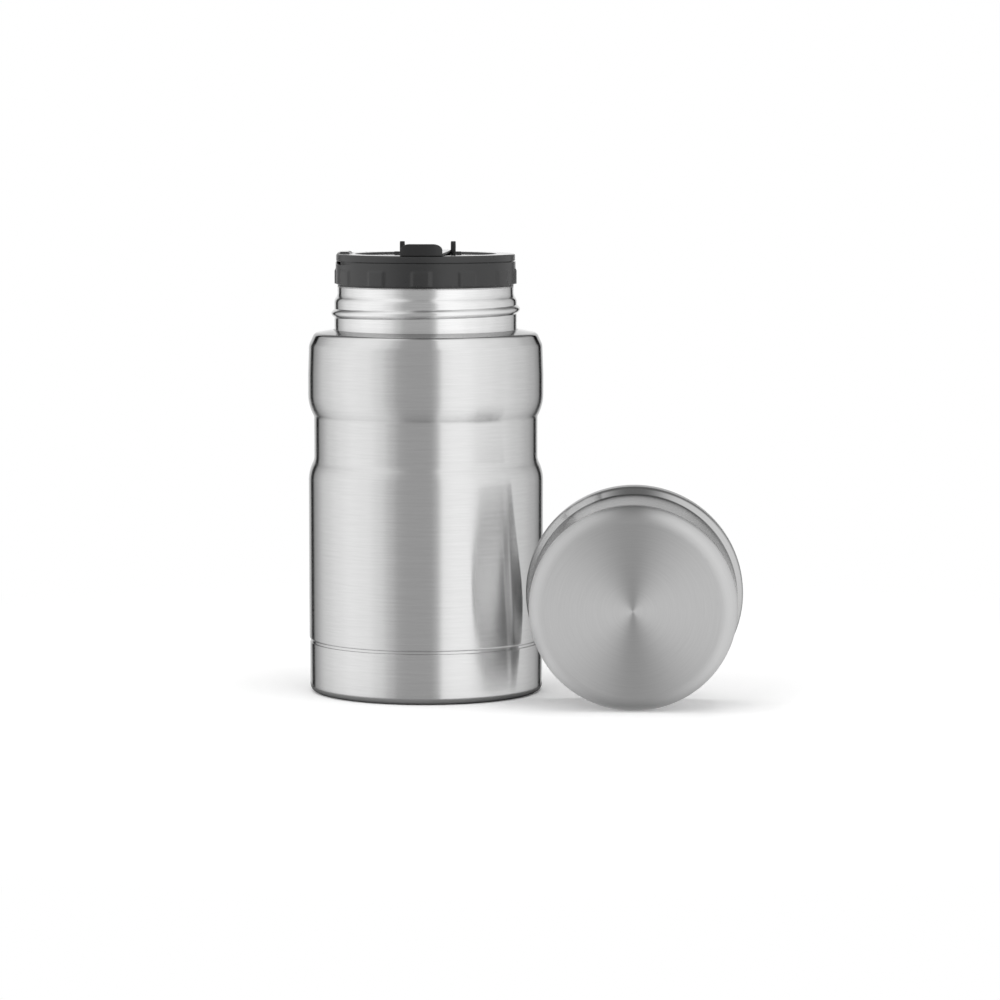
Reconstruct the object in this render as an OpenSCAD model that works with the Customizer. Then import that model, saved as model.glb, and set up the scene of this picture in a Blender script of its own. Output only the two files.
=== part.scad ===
// Vacuum-insulated food jar: a double-walled steel jar, a screw stopper with a
// hinged flip cover, and a double-walled steel cup that lies taken off beside it.
// Millimetres, +Z up, origin on the table at the centre of the jar's foot.
// The front of the jar faces -Y. Heights are stacked down from the mouth's rim.

/* [Jar body] */
// Outside diameter of the straight lower body
body_d = 100; // [92:0.5:108]
// Height of the mouth's rim above the table
mouth_z = 173.1; // [150:0.1:190]
// Height of the neck, from the shoulder to the mouth's rim
neck_h = 19.2; // [18:0.1:21]
// Depth of the waist below the side of the lower body
waist_in = 2.4; // [1.5:0.1:3]
// Height of the straight part of the waist
waist_h = 16; // [12:0.5:20]
// How far the upper bulge stands out past the lower body
bulge_out = 0.1; // [0:0.05:0.5]
// Height of the straight part of the bulge
bulge_h = 8.5; // [6:0.5:14]
// Height of the taper from the bulge to the middle of the shoulder's corner
taper_h = 12.1; // [8:0.1:14]
// How far the taper draws in
taper_in = 0.6; // [0.1:0.05:0.8]
// Radius of the shoulder's corner
shoulder_corner_r = 5.2; // [4:0.1:6]
// Slope of the shoulder from its corner up to the neck, in degrees
shoulder_slope = 10; // [6:1:14]
// Convex radius where the lower body draws in
draw_in_r = 17.5; // [14:0.5:20]
// Concave radius where the lower body meets the waist
draw_out_r = 6.8; // [5:0.2:9]
// Convex radius under the upper bulge
bulge_under_r = 19.2; // [15:0.1:22]
// Concave radius of the crease where the bulge meets the waist
crease_r = 3.6; // [2:0.2:6]
// Sheet thickness of the outer shell
shell_wall = 0.6; // [0.5:0.1:0.8]

/* [Foot] */
// Height of the groove's middle above the table
groove_z = 22; // [17:0.5:24]
// Width of the groove
groove_w = 1; // [0.6:0.1:1.4]
// How far the foot's side lies inside the lower body's side
foot_in = 0.3; // [0.1:0.05:0.6]
// Radius of the foot's bottom edge
foot_edge_r = 3; // [2:0.5:4]
// Width of the flat ring that the jar stands on
foot_ring_w = 3; // [2:0.5:4]
// Height of the recess under the foot
foot_recess_h = 4; // [3:0.5:5]
// Length of the flange that the shell slips over
foot_flange_h = 6; // [4:0.5:8]
// Sheet thickness of the foot
foot_wall = 0.6; // [0.5:0.1:0.8]
// Thickness of the cover disc under the foot
disc_t = 0.8; // [0.6:0.1:1]
// Radius of the solder bead
bead_seal_r = 3; // [2:0.5:4]
// Thickness of the solder bead
bead_seal_t = 1.2; // [0.8:0.1:1.6]
// Diameter of the pumping hole
pump_hole_d = 3; // [2:0.5:3.5]
// Radius of the getter pill
getter_r = 5; // [3:0.5:7]
// Thickness of the getter pill
getter_t = 2.6; // [2:0.2:3]

/* [Neck and inner bottle] */
// Bore of the mouth
mouth_bore = 70.6; // [64:0.1:77]
// Width of the flange at the mouth's rim
mouth_flange_w = 2.2; // [2:0.1:2.6]
// How far the neck steps out below its top
neck_step_out = 1.4; // [1:0.1:2]
// Height of the neck above its step
neck_top_h = 4.7; // [3.5:0.1:6]
// Convex and concave radius of the neck's step
neck_step_r = 3.4; // [1.6:0.1:4]
// Sheet thickness of the neck sleeve
neck_wall = 0.6; // [0.5:0.1:0.7]
// Height to which the sleeve reaches down below the shoulder
neck_tail_h = 2; // [1:0.5:3]
// Height that the cup's screw bead stands out of the neck
neck_bead_h = 1.1; // [0.8:0.1:1.3]
// Half the width of the cup's screw bead
neck_bead_w = 1.5; // [1.2:0.1:1.8]
// Height of the cup's screw bead above the shoulder, at the front of the jar
neck_bead_up = 8.35; // [7:0.05:9.5]
// Rise of the cup's screw bead in a turn
neck_bead_lead = 3.8; // [3.2:0.1:4.4]
// Length of the cup's screw bead, in degrees
neck_bead_sweep = 340; // [300:5:345]
// Width of the vacuum space between the waist and the inner bottle
vacuum_gap = 3; // [2:0.1:5]
// Height of the vacuum space between the foot and the inner bottle
bottom_gap = 4.4; // [3.5:0.1:6]
// Radius of the inner bottle's bottom corner
liner_corner_r = 8; // [6:0.5:12]
// How far below the outer shoulder's corner the inner bottle's shoulder starts
liner_shoulder_drop = 10.8; // [9:0.1:14]
// Convex radius of the inner bottle's shoulder
liner_shoulder_r = 8; // [6:0.5:9]
// Concave radius of the inner bottle's shoulder
liner_throat_r = 5; // [4:0.5:6]
// Sheet thickness of the inner bottle
liner_wall = 0.6; // [0.5:0.1:0.7]
// Thickness of the foil round the inner bottle
foil_t = 0.2; // [0.1:0.05:0.3]
// Clearance between the foil and the inner bottle
foil_gap = 0.1; // [0.05:0.05:0.2]
// Distance between the foil's top and the inner bottle's shoulder
foil_end = 5.5; // [1:0.5:20]

/* [Stopper] */
// Turn of the screwed-down stopper about the jar's axis, in degrees
stopper_turn = -1.8; // [-10:0.2:10]
// How far the grip collar stands out past the neck's top
collar_out = 0.7; // [0.3:0.1:1.2]
// Gap between the collar and the mouth's rim
collar_gap = 0.3; // [0.2:0.05:0.4]
// Height of the collar
collar_h = 10; // [9:0.2:12]
// Wall of the collar round the spigot's bore
collar_wall = 3.2; // [2.6:0.1:3.6]
// Number of grip lugs
lug_count = 12; // [8:1:16]
// Width of a grip lug, in degrees
lug_sweep = 11.5; // [8:0.5:14]
// Height that a lug stands out of the collar
lug_out = 0.5; // [0.3:0.05:0.8]
// Height of a grip lug
lug_h = 6.9; // [5:0.1:8]
// Height of a lug's foot above the collar's foot
lug_lift = 0.35; // [0.2:0.05:1]
// Wall of the stopper's skirt and floor
skirt_wall = 1.8; // [1.5:0.1:2.2]
// Length of the skirt below the mouth's rim
skirt_h = 14.7; // [13:0.1:17]
// Depth of the collar's bore that takes the top's spigot
spigot_depth = 7; // [6:0.5:8]
// Number of thread starts
thread_starts = 3; // [2:1:3]
// Rise of the stopper in a turn
thread_lead = 12; // [10:1:14]
// Length of one thread ridge, in degrees
thread_sweep = 80; // [50:5:85]
// Height of a thread ridge
thread_h = 0.9; // [0.7:0.05:1.1]
// Clearance between a thread ridge and the wall that it slides on
thread_clear = 0.5; // [0.3:0.05:0.7]
// Half the width of a thread ridge
thread_w = 0.7; // [0.5:0.05:0.8]
// Depth of the middle of the mouth's thread ridges below the rim
thread_drop = 7.2; // [6:0.1:8]
// Width of the mouth's gasket
gasket_w = 1.8; // [1.4:0.1:2]
// Thickness of the mouth's gasket
gasket_t = 1.4; // [1:0.1:1.8]
// Clearance of the gasket in its groove
gasket_gap = 0.05; // [0.02:0.01:0.1]

/* [Top disc] */
// How far the top disc's side lies inside the collar's side
top_in = 0.2; // [0:0.05:0.5]
// Thickness of the top disc's rim
top_t = 3.2; // [2.8:0.1:3.6]
// Radius of the top disc's upper edge
top_edge_r = 0.8; // [0.4:0.1:1.2]
// Width of the fine gap between the top disc and the collar
top_seam = 0.3; // [0.1:0.05:0.5]
// Depth of that gap
seam_depth = 1; // [0.6:0.1:1.4]
// Width of the rim round the dish
rim_w = 8; // [7:0.1:9]
// Depth of the dish
dish_depth = 1.4; // [1.2:0.1:1.8]
// Thickness of the dish's floor
dish_floor_t = 2.8; // [2.5:0.1:3.2]
// Wall of the spigot
spigot_wall = 1.6; // [1.2:0.1:2]
// Length of the spigot
spigot_h = 5; // [4:0.5:5.5]
// Clearance of the spigot in its bore
spigot_gap = 0.1; // [0.05:0.05:0.2]
// Height of the thumb lip above the rim
lip_h = 0.7; // [0.4:0.1:1]
// Width of the thumb lip across the rim
lip_w = 6; // [5:0.5:7]
// Length of the thumb lip, in degrees
lip_sweep = 30; // [20:1:40]
// Depth of the thumb notch under the lip
notch_h = 1.3; // [0.8:0.1:1.6]
// Length of the thumb notch
notch_l = 40; // [30:1:44]

/* [Flip cover] */
// Distance of the hinge behind the jar's axis
hinge_back = 18.9; // [17:0.1:20]
// Depth of the hinge's axis below the rim
hinge_drop = 0.8; // [0.6:0.1:0.9]
// Radius of the hinge pin
pin_r = 0.8; // [0.6:0.1:0.9]
// Running clearance of the hinge
pin_gap = 0.05; // [0.03:0.01:0.08]
// Radius of the cover's hinge barrel
barrel_r = 1.7; // [1.5:0.1:1.9]
// Clearance of the barrel in the hinge pocket
pocket_gap = 1; // [0.4:0.1:1]
// Distance between the cheeks' inner faces
cheek_span = 19.8; // [19:0.1:22]
// Thickness of a cheek
cheek_t = 2.1; // [1.8:0.1:2.4]
// Height of the cheeks above the rim
cheek_h = 4.8; // [3.5:0.1:4.8]
// Radius of a cheek's top
cheek_tip_r = 1.4; // [1:0.1:1.6]
// Clearance behind the cheeks when the cover is open
swing_gap = 0.3; // [0.2:0.1:1]
// Width of the hinge bosses beside the cheeks
boss_t = 2.2; // [1.8:0.1:2.6]
// Gap between a cheek and its boss
boss_gap = 0.15; // [0.1:0.05:0.3]
// Height of the hinge bosses above the rim
boss_h = 0.4; // [0.3:0.1:0.6]
// Length of the hinge bosses
boss_l = 5; // [4:0.5:6]
// Length of the cover behind the hinge
cover_tail = 1; // [0.5:0.1:1.2]
// Width of the cover at the front
cover_w = 17.6; // [16:0.1:19.4]
// Thickness of the cover
cover_t = 1; // [0.8:0.1:1.2]
// Gap between the cover and the rim
cover_gap = 0.15; // [0.1:0.05:0.3]
// Height of the thumb tab above the rim
tab_h = 5; // [4:0.1:5.5]
// Thickness of the thumb tab
tab_t = 1.6; // [1.2:0.1:2]
// Radius of the thumb tab's corners
tab_corner_r = 3.6; // [2:0.1:4]
// Distance of the sip tube in front of the jar's axis
tube_front = 21; // [19:0.5:23]
// Bore of the sip tube
tube_bore = 8.4; // [7:0.1:9]
// Wall of the sip tube
tube_wall = 1.2; // [1:0.1:1.4]
// Width of the sip tube's flange
tube_flange_w = 2; // [1.5:0.1:2.2]
// Thickness of the sip tube's flange
tube_flange_t = 1.2; // [1:0.1:1.5]
// Length of the sip tube that shows below the stopper
tube_end = 0.6; // [0.4:0.1:1]
// Thickness of the tube's sealing ring
tube_seal_t = 1.6; // [1.2:0.1:2]
// Clearance between the tube and what it passes through
tube_gap = 0.1; // [0.05:0.01:0.15]
// Depth of the sealing plug in the tube
plug_h = 3; // [2:0.2:4]
// Clearance of the sealing plug in the tube
plug_gap = 0.3; // [0.2:0.05:0.4]
// Gap under the sealing plug's flange
seal_gap = 0.05; // [0.02:0.01:0.1]
// Draft of the sealing plug
plug_taper = 0.4; // [0.2:0.05:0.5]
// Radius of the sealing plug's button in the cover
button_r = 1.5; // [1:0.1:2]

/* [Cup] */
// Clearance between the neck's screw bead and the cup's mouth
cup_gap = 0.5; // [0.3:0.1:0.8]
// How far the cup's mouth is wider than its bowl, on each side
bowl_step = 0.8; // [0.5:0.1:1.2]
// Air gap between the cup's two walls
cup_air = 2.1; // [1.2:0.1:2.4]
// How far the cup's rim band stands out
cup_rim_out = 2.5; // [1.6:0.1:2.8]
// Length of the cup
cup_l = 44; // [40:0.2:50]
// Radius of the cup's closed edge
cup_edge_r = 7; // [6:0.2:8]
// Length of the rim band, with its step
cup_band_l = 7.4; // [7:0.2:11]
// Convex and concave radius of the rim band's step
cup_step_r = 1.5; // [1.3:0.1:2]
// Radius of the rim's outer edge
cup_lip_r = 0.6; // [0.4:0.1:0.8]
// Sheet thickness of the cup
cup_wall = 0.6; // [0.5:0.05:0.65]
// Distance of the bowl's floor from the closed face
bowl_floor_l = 4.4; // [3.5:0.1:5]
// Inside radius of the bowl's corner
bowl_corner_r = 4; // [3:0.1:4.5]
// Radii of the step between the bowl and the cup's mouth
bowl_step_r = 1; // [0.9:0.1:1.4]
// Depth of the threaded mouth
cup_bore_depth = 13; // [12:0.5:15]
// Number of stretches of the cup's thread bead
cup_bead_count = 3; // [2:1:4]
// Length of one stretch, in degrees
cup_bead_sweep = 84; // [50:1:86]
// Height of the cup's thread bead
cup_bead_h = 1.1; // [0.8:0.1:1.3]
// Half the width of the cup's thread bead
cup_bead_w = 1; // [0.8:0.1:1.2]
// Distance of the thread bead's middle from the rim
cup_bead_l = 6; // [5:0.25:7]
// Turn of the lying cup's axis from the jar's front-to-back line, in degrees
cup_yaw = 2.8; // [0:0.2:5]
// How far the lying cup is tucked in front of the jar's side
cup_tuck = 9.6; // [0:0.1:10]
// Distance of the lying cup's rim in front of the jar's axis
cup_rim_front = 29.8; // [29.6:0.1:40]

/* [Hidden] */
$fn = 96;

// Clearance between pressed sheets that are welded to each other
weld_gap = 0.05;
// Clearance between a loose inner piece and its seat
seat_gap = 0.1;
// Small overlap that joins shapes of one solid, and that cuts reach past a face
join = 0.2;
// Points on an arc of an outline
arc_n = 10;
// Angle of one step along the neck's bead, and of its run-out at each end
bead_step = 4;
bead_fade = 16;
// Share of the bead's height that is left at its very ends
bead_end = 0.05;
// Inset that keeps the thumb lip's skin clear of the rim's own
lip_inset = 0.05;
// Points on a ridge's section, and the depth to which it is sunk in its wall
ridge_sides = 7;
ridge_sink = 0.3;

// Mouth and neck
mouth_r = mouth_bore / 2;
throat_r = mouth_r + liner_wall;
neck_top_r = mouth_r + mouth_flange_w;
neck_r = neck_top_r + neck_step_out;
neck_hole_r = neck_r + weld_gap;
neck_step_z = mouth_z - neck_top_h - draw_rise(neck_r, neck_top_r, neck_step_r, neck_step_r);
shoulder_foot_z = mouth_z - neck_h;
neck_bead_z = shoulder_foot_z + neck_bead_up;

// Jar body
body_r = body_d / 2;
waist_r = body_r - waist_in;
bulge_r = body_r + bulge_out;
shoulder_r = bulge_r - taper_in;
shoulder_corner_z = shoulder_foot_z - shoulder_corner_r * cos(shoulder_slope)
    - (shoulder_r - shoulder_corner_r * (1 - sin(shoulder_slope)) - neck_hole_r)
    * tan(shoulder_slope);
taper_z = shoulder_corner_z - taper_h;
crease_z = taper_z - bulge_h - draw_rise(bulge_r, waist_r, bulge_under_r, crease_r);
lower_top_z = crease_z - waist_h - draw_rise(body_r, waist_r, draw_in_r, draw_out_r);
seam_top_z = groove_z + groove_w / 2;
seam_bottom_z = groove_z - groove_w / 2;

// Foot
foot_r = body_r - foot_in;
foot_flange_r = body_r - shell_wall - weld_gap;
foot_ring_out = foot_r - foot_edge_r;
foot_ring_in = foot_ring_out - foot_ring_w;

// Inner bottle
liner_r = waist_r - shell_wall - vacuum_gap;
liner_z = foot_recess_h + foot_wall + bottom_gap;
liner_shoulder_z = shoulder_corner_z - liner_shoulder_drop;
foil_r = liner_r + foil_gap;
foil_z = liner_z + liner_corner_r;
foil_h = liner_shoulder_z - foil_end - foil_z;

// Stopper
collar_r = neck_top_r + collar_out;
collar_z = mouth_z + collar_gap;
seam_z = collar_z + collar_h;
skirt_r = mouth_r - thread_h - thread_clear;
skirt_in = skirt_r - skirt_wall;
skirt_z = mouth_z - skirt_h;
stopper_floor_z = skirt_z + skirt_wall;
spigot_bore_r = collar_r - collar_wall;
ledge_z = seam_z - spigot_depth;
gasket_mid_r = (mouth_r + neck_top_r) / 2;
gasket_in = gasket_mid_r - gasket_w / 2;
gasket_out = gasket_mid_r + gasket_w / 2;
gasket_top_z = mouth_z + gasket_t;
thread_z = mouth_z - thread_drop;
thread_pitch = thread_lead / thread_starts;

// Top disc and flip cover, in the stopper's own turn
top_r = collar_r - top_in;
rim_z = seam_z + top_t;
dish_r = top_r - rim_w;
dish_z = rim_z - dish_depth;
dish_under_z = dish_z - dish_floor_t;
spigot_r = spigot_bore_r - spigot_gap;
hinge_z = rim_z - hinge_drop;
pocket_depth = hinge_drop + barrel_r + pocket_gap;
pocket_front = barrel_r + pocket_gap;
pocket_back = hinge_drop + cheek_h + swing_gap;
cheek_in = cheek_span / 2;
cheek_out = cheek_in + cheek_t;
boss_in = cheek_out + boss_gap;
boss_out = boss_in + boss_t;
cover_z = rim_z + cover_gap;
cover_top_z = cover_z + cover_t;
tube_r = tube_bore / 2 + tube_wall;
tube_flange_r = tube_r + tube_flange_w;
plug_r = tube_bore / 2 - plug_gap;

// Cup
cup_bore_r = neck_r + neck_bead_h + cup_gap;
bowl_r = cup_bore_r - bowl_step;
cup_r = bowl_r + 2 * cup_wall + cup_air;
cup_rim_r = cup_r + cup_rim_out;
cup_step_l = cup_l - cup_band_l;
cup_x = bulge_r + cup_rim_r - cup_tuck;
cup_front = cup_rim_front + cup_l;

// How far the lying cup leans: it rests on its closed edge and on its rim band
cup_step_top = cup_step_l + draw_rise(cup_rim_r, cup_r, cup_step_r, cup_step_r);
cup_edge_mid = [cup_edge_r, cup_r - cup_edge_r];
cup_band_mid = [cup_step_top, cup_rim_r - cup_step_r];
cup_contact = cup_band_mid - cup_edge_mid;
cup_lean = atan2(cup_contact[1], cup_contact[0])
    - asin((cup_edge_r - cup_step_r) / norm(cup_contact));
cup_z = cup_edge_r + cup_edge_mid[1] * cos(cup_lean) - cup_edge_mid[0] * sin(cup_lean);

// Points of an arc about [r, z] from angle a0 to angle a1
function arc(c, radius, a0, a1) = [
    for (i = [0:arc_n]) let (a = a0 + (a1 - a0) * i / arc_n)
    [c[0] + radius * cos(a), c[1] + radius * sin(a)]
];

// A wall line that draws in from radius ra to radius rb above height z: first
// the convex radius r1, then the concave radius r2, with a flat ring between
// them where the radii are too small to meet. inset moves it inwards.
function draw_angle(ra, rb, r1, r2) =
    ra - rb >= r1 + r2 ? 90 : acos(1 - (ra - rb) / (r1 + r2));
function draw_rise(ra, rb, r1, r2) = (r1 + r2) * sin(draw_angle(ra, rb, r1, r2));
function draw_in(ra, rb, z, r1, r2, inset = 0) =
    let (a = draw_angle(ra, rb, r1, r2), top = z + draw_rise(ra, rb, r1, r2))
    concat(
        arc([ra - r1, z], r1 - inset, 0, a),
        arc([rb + r2, top], r2 + inset, 180 + a, 180)
    );

// The same line upside down: a wall that widens from radius rb to radius ra
// above height z, first with the concave radius r2, then with the convex r1
function widen(rb, ra, z, r2, r1, inset = 0) = [
    for (p = backwards(draw_in(ra, rb, -z - draw_rise(ra, rb, r1, r2), r1, r2, inset)))
    [p[0], -p[1]]
];

function backwards(points) = [for (i = [len(points) - 1:-1:0]) points[i]];

// Outside line of the shell from the groove to the neck, moved in by inset
function shoulder_z(r, inset) =
    shoulder_corner_z
    + (shoulder_corner_r - inset) * cos(shoulder_slope)
    + (shoulder_r - shoulder_corner_r
        + (shoulder_corner_r - inset) * sin(shoulder_slope) - r) * tan(shoulder_slope);
function shell_line(inset) = concat(
    [[body_r - inset, seam_top_z]],
    draw_in(body_r, waist_r, lower_top_z, draw_in_r, draw_out_r, inset),
    widen(waist_r, bulge_r, crease_z, crease_r, bulge_under_r, inset),
    [[bulge_r - inset, taper_z]],
    arc([shoulder_r - shoulder_corner_r, shoulder_corner_z],
        shoulder_corner_r - inset, 0, 90 - shoulder_slope),
    [[neck_hole_r, shoulder_z(neck_hole_r, inset)]]
);

// A pressed sheet between two lines of [r, z] points, spun about the axis
module spun_sheet(outside, inside) {
    rotate_extrude() polygon(concat(outside, backwards(inside)));
}

// Rounded section of a screw ridge on a wall of radius wall_r: out is 1 on the
// outside of a wall and -1 inside a bore
function ridge_section(wall_r, out, height, half_w) = [
    for (k = [0:ridge_sides - 1])
    let (u = -1 + 2 * k / (ridge_sides - 1))
    [wall_r + out * (-ridge_sink + (height + ridge_sink) * cos(90 * u)), half_w * u]
];

// A short stretch of a screw ridge: an arc tilted to the thread's lead, with
// its middle at angle mid and height mid_z
module screw_arc(wall_r, out, height, half_w, lead, sweep, mid, mid_z) {
    rotate([0, 0, mid]) translate([0, 0, mid_z])
        rotate([atan2(lead, 2 * PI * wall_r), 0, 0])
            rotate([0, 0, -sweep / 2]) rotate_extrude(angle = sweep)
                polygon(ridge_section(wall_r, out, height, half_w));
}

// A long screw bead on the outside of a wall, which runs out at both ends
module screw_bead(wall_r, height, half_w, lead, sweep, mid, mid_z) {
    steps = ceil(sweep / bead_step);
    function run_out(a) = min(1, (sweep / 2 - abs(a)) / bead_fade + bead_end);
    points = [
        for (i = [0:steps])
        let (a = sweep * (i / steps - 0.5))
        for (p = ridge_section(wall_r, 1, height * run_out(a), half_w))
        [p[0] * cos(mid + a), p[0] * sin(mid + a), mid_z + lead * a / 360 + p[1]]
    ];
    skin = [
        for (i = [0:steps - 1], k = [0:ridge_sides - 1])
        let (n = (k + 1) % ridge_sides, b = i * ridge_sides)
        [b + k, b + n, b + ridge_sides + n, b + ridge_sides + k]
    ];
    first = [for (k = [ridge_sides - 1:-1:0]) k];
    last = [for (k = [0:ridge_sides - 1]) steps * ridge_sides + k];
    polyhedron(points, concat([first, last], skin), convexity = 6);
}

// What belongs to the stopper stands in the stopper's own turn
module on_stopper() {
    rotate([0, 0, stopper_turn]) children();
}

// Straight-sided body from the groove to the shoulder
module outer_shell() {
    color("silver") spun_sheet(shell_line(0), shell_line(shell_wall));
}

// Outside line of the foot, from the middle of its underside up to its flange
function foot_line(inset) = concat(
    [[0, foot_recess_h + inset]],
    [[foot_ring_in + inset, foot_recess_h + inset]],
    [[foot_ring_in + inset, inset]],
    arc([foot_ring_out, foot_edge_r], foot_edge_r - inset, -90, 0),
    [[foot_r - inset, seam_bottom_z - inset]],
    [[foot_flange_r - inset, seam_bottom_z - inset]],
    [[foot_flange_r - inset, seam_bottom_z + foot_flange_h]]
);

// Foot of the jar: a ring to stand on, a recess with the pumping hole, and a
// flange that the outer shell slips over
module base_cap() {
    color("silver") difference() {
        spun_sheet(foot_line(0), concat(
            [for (p = foot_line(foot_wall)) if (p[1] < seam_bottom_z - foot_wall) p],
            [[foot_flange_r - foot_wall, seam_bottom_z - foot_wall]],
            [[foot_flange_r - foot_wall, seam_bottom_z + foot_flange_h]]));
        cylinder(d = pump_hole_d, h = foot_recess_h + foot_wall + join);
    }
}

// Cover disc under the foot
module base_disc() {
    color("gray") translate([0, 0, foot_recess_h - bead_seal_t - seat_gap - disc_t])
        cylinder(r = foot_ring_in - seat_gap, h = disc_t);
}

// Solder bead under the pumping hole
module vacuum_seal() {
    color("dimgray") translate([0, 0, foot_recess_h - bead_seal_t])
        cylinder(r = bead_seal_r, h = bead_seal_t);
}

// Getter pill under the inner bottle
module getter() {
    color("slategray") translate([0, 0, liner_z - seat_gap - getter_t])
        cylinder(r = getter_r, h = getter_t);
}

// Outside line of the inner bottle, from the middle of its floor to its mouth
function liner_line(inset) = concat(
    [[0, liner_z + inset]],
    arc([liner_r - liner_corner_r, liner_z + liner_corner_r],
        liner_corner_r - inset, -90, 0),
    draw_in(liner_r, throat_r, liner_shoulder_z, liner_shoulder_r, liner_throat_r, inset)
);

// Inner bottle with a flange at its mouth and the stopper's thread in its neck
module liner() {
    color("lightgray") union() {
        rotate_extrude() polygon(concat(
            liner_line(0),
            [[throat_r, mouth_z - liner_wall]],
            [[neck_top_r, mouth_z - liner_wall]],
            [[neck_top_r, mouth_z]],
            [[mouth_r, mouth_z]],
            backwards(liner_line(liner_wall))));
        for (i = [0:thread_starts - 1])
            screw_arc(mouth_r, -1, thread_h, thread_w, thread_lead, thread_sweep,
                i * 360 / thread_starts, thread_z);
    }
}

// Foil round the belly of the inner bottle
module reflector_foil() {
    color("lightsteelblue")
        translate([0, 0, foil_z]) difference() {
            cylinder(r = foil_r + foil_t, h = foil_h);
            translate([0, 0, -join]) cylinder(r = foil_r, h = foil_h + 2 * join);
        }
}

// Outside line of the neck, from its tail below the shoulder to its top
function neck_line(inset) = concat(
    [[neck_r - inset, shoulder_z(neck_r, 0) - neck_tail_h]],
    draw_in(neck_r, neck_top_r, neck_step_z, neck_step_r, neck_step_r, inset),
    [[neck_top_r - inset, mouth_z - liner_wall]]
);

// Neck with the step under the stopper and the screw bead for the cup
module neck_sleeve() {
    color("gainsboro") union() {
        spun_sheet(neck_line(0), neck_line(neck_wall));
        screw_bead(neck_r, neck_bead_h, neck_bead_w, neck_bead_lead,
            neck_bead_sweep, -90, neck_bead_z);
    }
}

// Silicone ring between the collar and the mouth's rim
module rim_gasket() {
    color("whitesmoke") translate([0, 0, mouth_z]) difference() {
        cylinder(r = gasket_out, h = gasket_t);
        translate([0, 0, -join]) cylinder(r = gasket_in, h = gasket_t + 2 * join);
    }
}

// One grip lug of the collar
module grip_lug() {
    foot = collar_z + lug_lift;
    slope = lug_out + join;
    rotate([0, 0, -lug_sweep / 2]) rotate_extrude(angle = lug_sweep) polygon([
        [collar_r - join, foot], [collar_r + lug_out, foot],
        [collar_r + lug_out, foot + lug_h - slope], [collar_r - join, foot + lug_h]
    ]);
}

// Collar with its grip lugs, and the threaded skirt and floor below it
module stopper_body() {
    color("#3a3a3a") on_stopper() difference() {
        union() {
            rotate_extrude() polygon([
                [0, skirt_z], [skirt_r, skirt_z], [skirt_r, collar_z],
                [gasket_in - gasket_gap, collar_z],
                [gasket_in - gasket_gap, gasket_top_z + gasket_gap],
                [gasket_out + gasket_gap, gasket_top_z + gasket_gap],
                [gasket_out + gasket_gap, collar_z],
                [collar_r, collar_z], [collar_r, seam_z], [spigot_bore_r, seam_z],
                [spigot_bore_r, ledge_z], [skirt_in, ledge_z],
                [skirt_in, stopper_floor_z], [0, stopper_floor_z]
            ]);
            for (i = [0:lug_count - 1])
                rotate([0, 0, -90 + i * 360 / lug_count]) grip_lug();
            for (i = [0:thread_starts - 1])
                screw_arc(skirt_r, 1, thread_h, thread_w, thread_lead, thread_sweep,
                    i * 360 / thread_starts - stopper_turn, thread_z - thread_pitch / 2);
        }
        translate([0, -tube_front, skirt_z - join])
            cylinder(r = tube_r + tube_gap, h = skirt_wall + 2 * join);
        thumb_notch();
    }
}

// Lens-shaped notch under the thumb lip, cut into the top of the collar
module thumb_notch() {
    notch_r = (notch_l * notch_l / 4 + notch_h * notch_h) / (2 * notch_h);
    translate([-collar_r - 2 * lug_out, 0, seam_z - notch_h + notch_r])
        rotate([0, 90, 0]) cylinder(r = notch_r, h = collar_r - spigot_bore_r - join, $fn = 360);
}

// Insulating puck in the stopper
module stopper_foam() {
    color("ivory") on_stopper() difference() {
        translate([0, 0, stopper_floor_z + seat_gap])
            cylinder(r = skirt_in - seat_gap,
                h = seam_z - spigot_h - stopper_floor_z - 2 * seat_gap);
        translate([0, -tube_front, stopper_floor_z])
            cylinder(r = tube_flange_r + seat_gap, h = seam_z - stopper_floor_z);
    }
}

// The hinge axis, seen along it: +X of the shape runs to the back
module along_hinge(from_x, width) {
    translate([from_x, hinge_back, hinge_z]) rotate([90, 0, 90])
        linear_extrude(width) children();
}

// The two low bosses that hold the hinge pin
module hinge_boss(from_x) {
    foot = hinge_z - dish_z + join;
    top = hinge_drop + boss_h;
    along_hinge(from_x, boss_t) polygon([
        [-boss_l / 2, -foot], [boss_l / 2, -foot], [boss_l / 2, 0],
        [top / 2, top], [-top / 2, top], [-boss_l / 2, 0]
    ]);
}

// Raised thumb lip on the left side of the rim
module thumb_lip() {
    edge = lip_h + top_edge_r + 2 * join;
    rotate([0, 0, 180 - lip_sweep / 2]) rotate_extrude(angle = lip_sweep) polygon(concat(
        [[top_r - lip_w, rim_z - join], [top_r - top_edge_r, rim_z - 2 * top_edge_r]],
        arc([top_r - edge, rim_z + lip_h - edge], edge - lip_inset, 0, 90),
        [[top_r - lip_w, rim_z + lip_h - lip_inset]]
    ));
}

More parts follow.
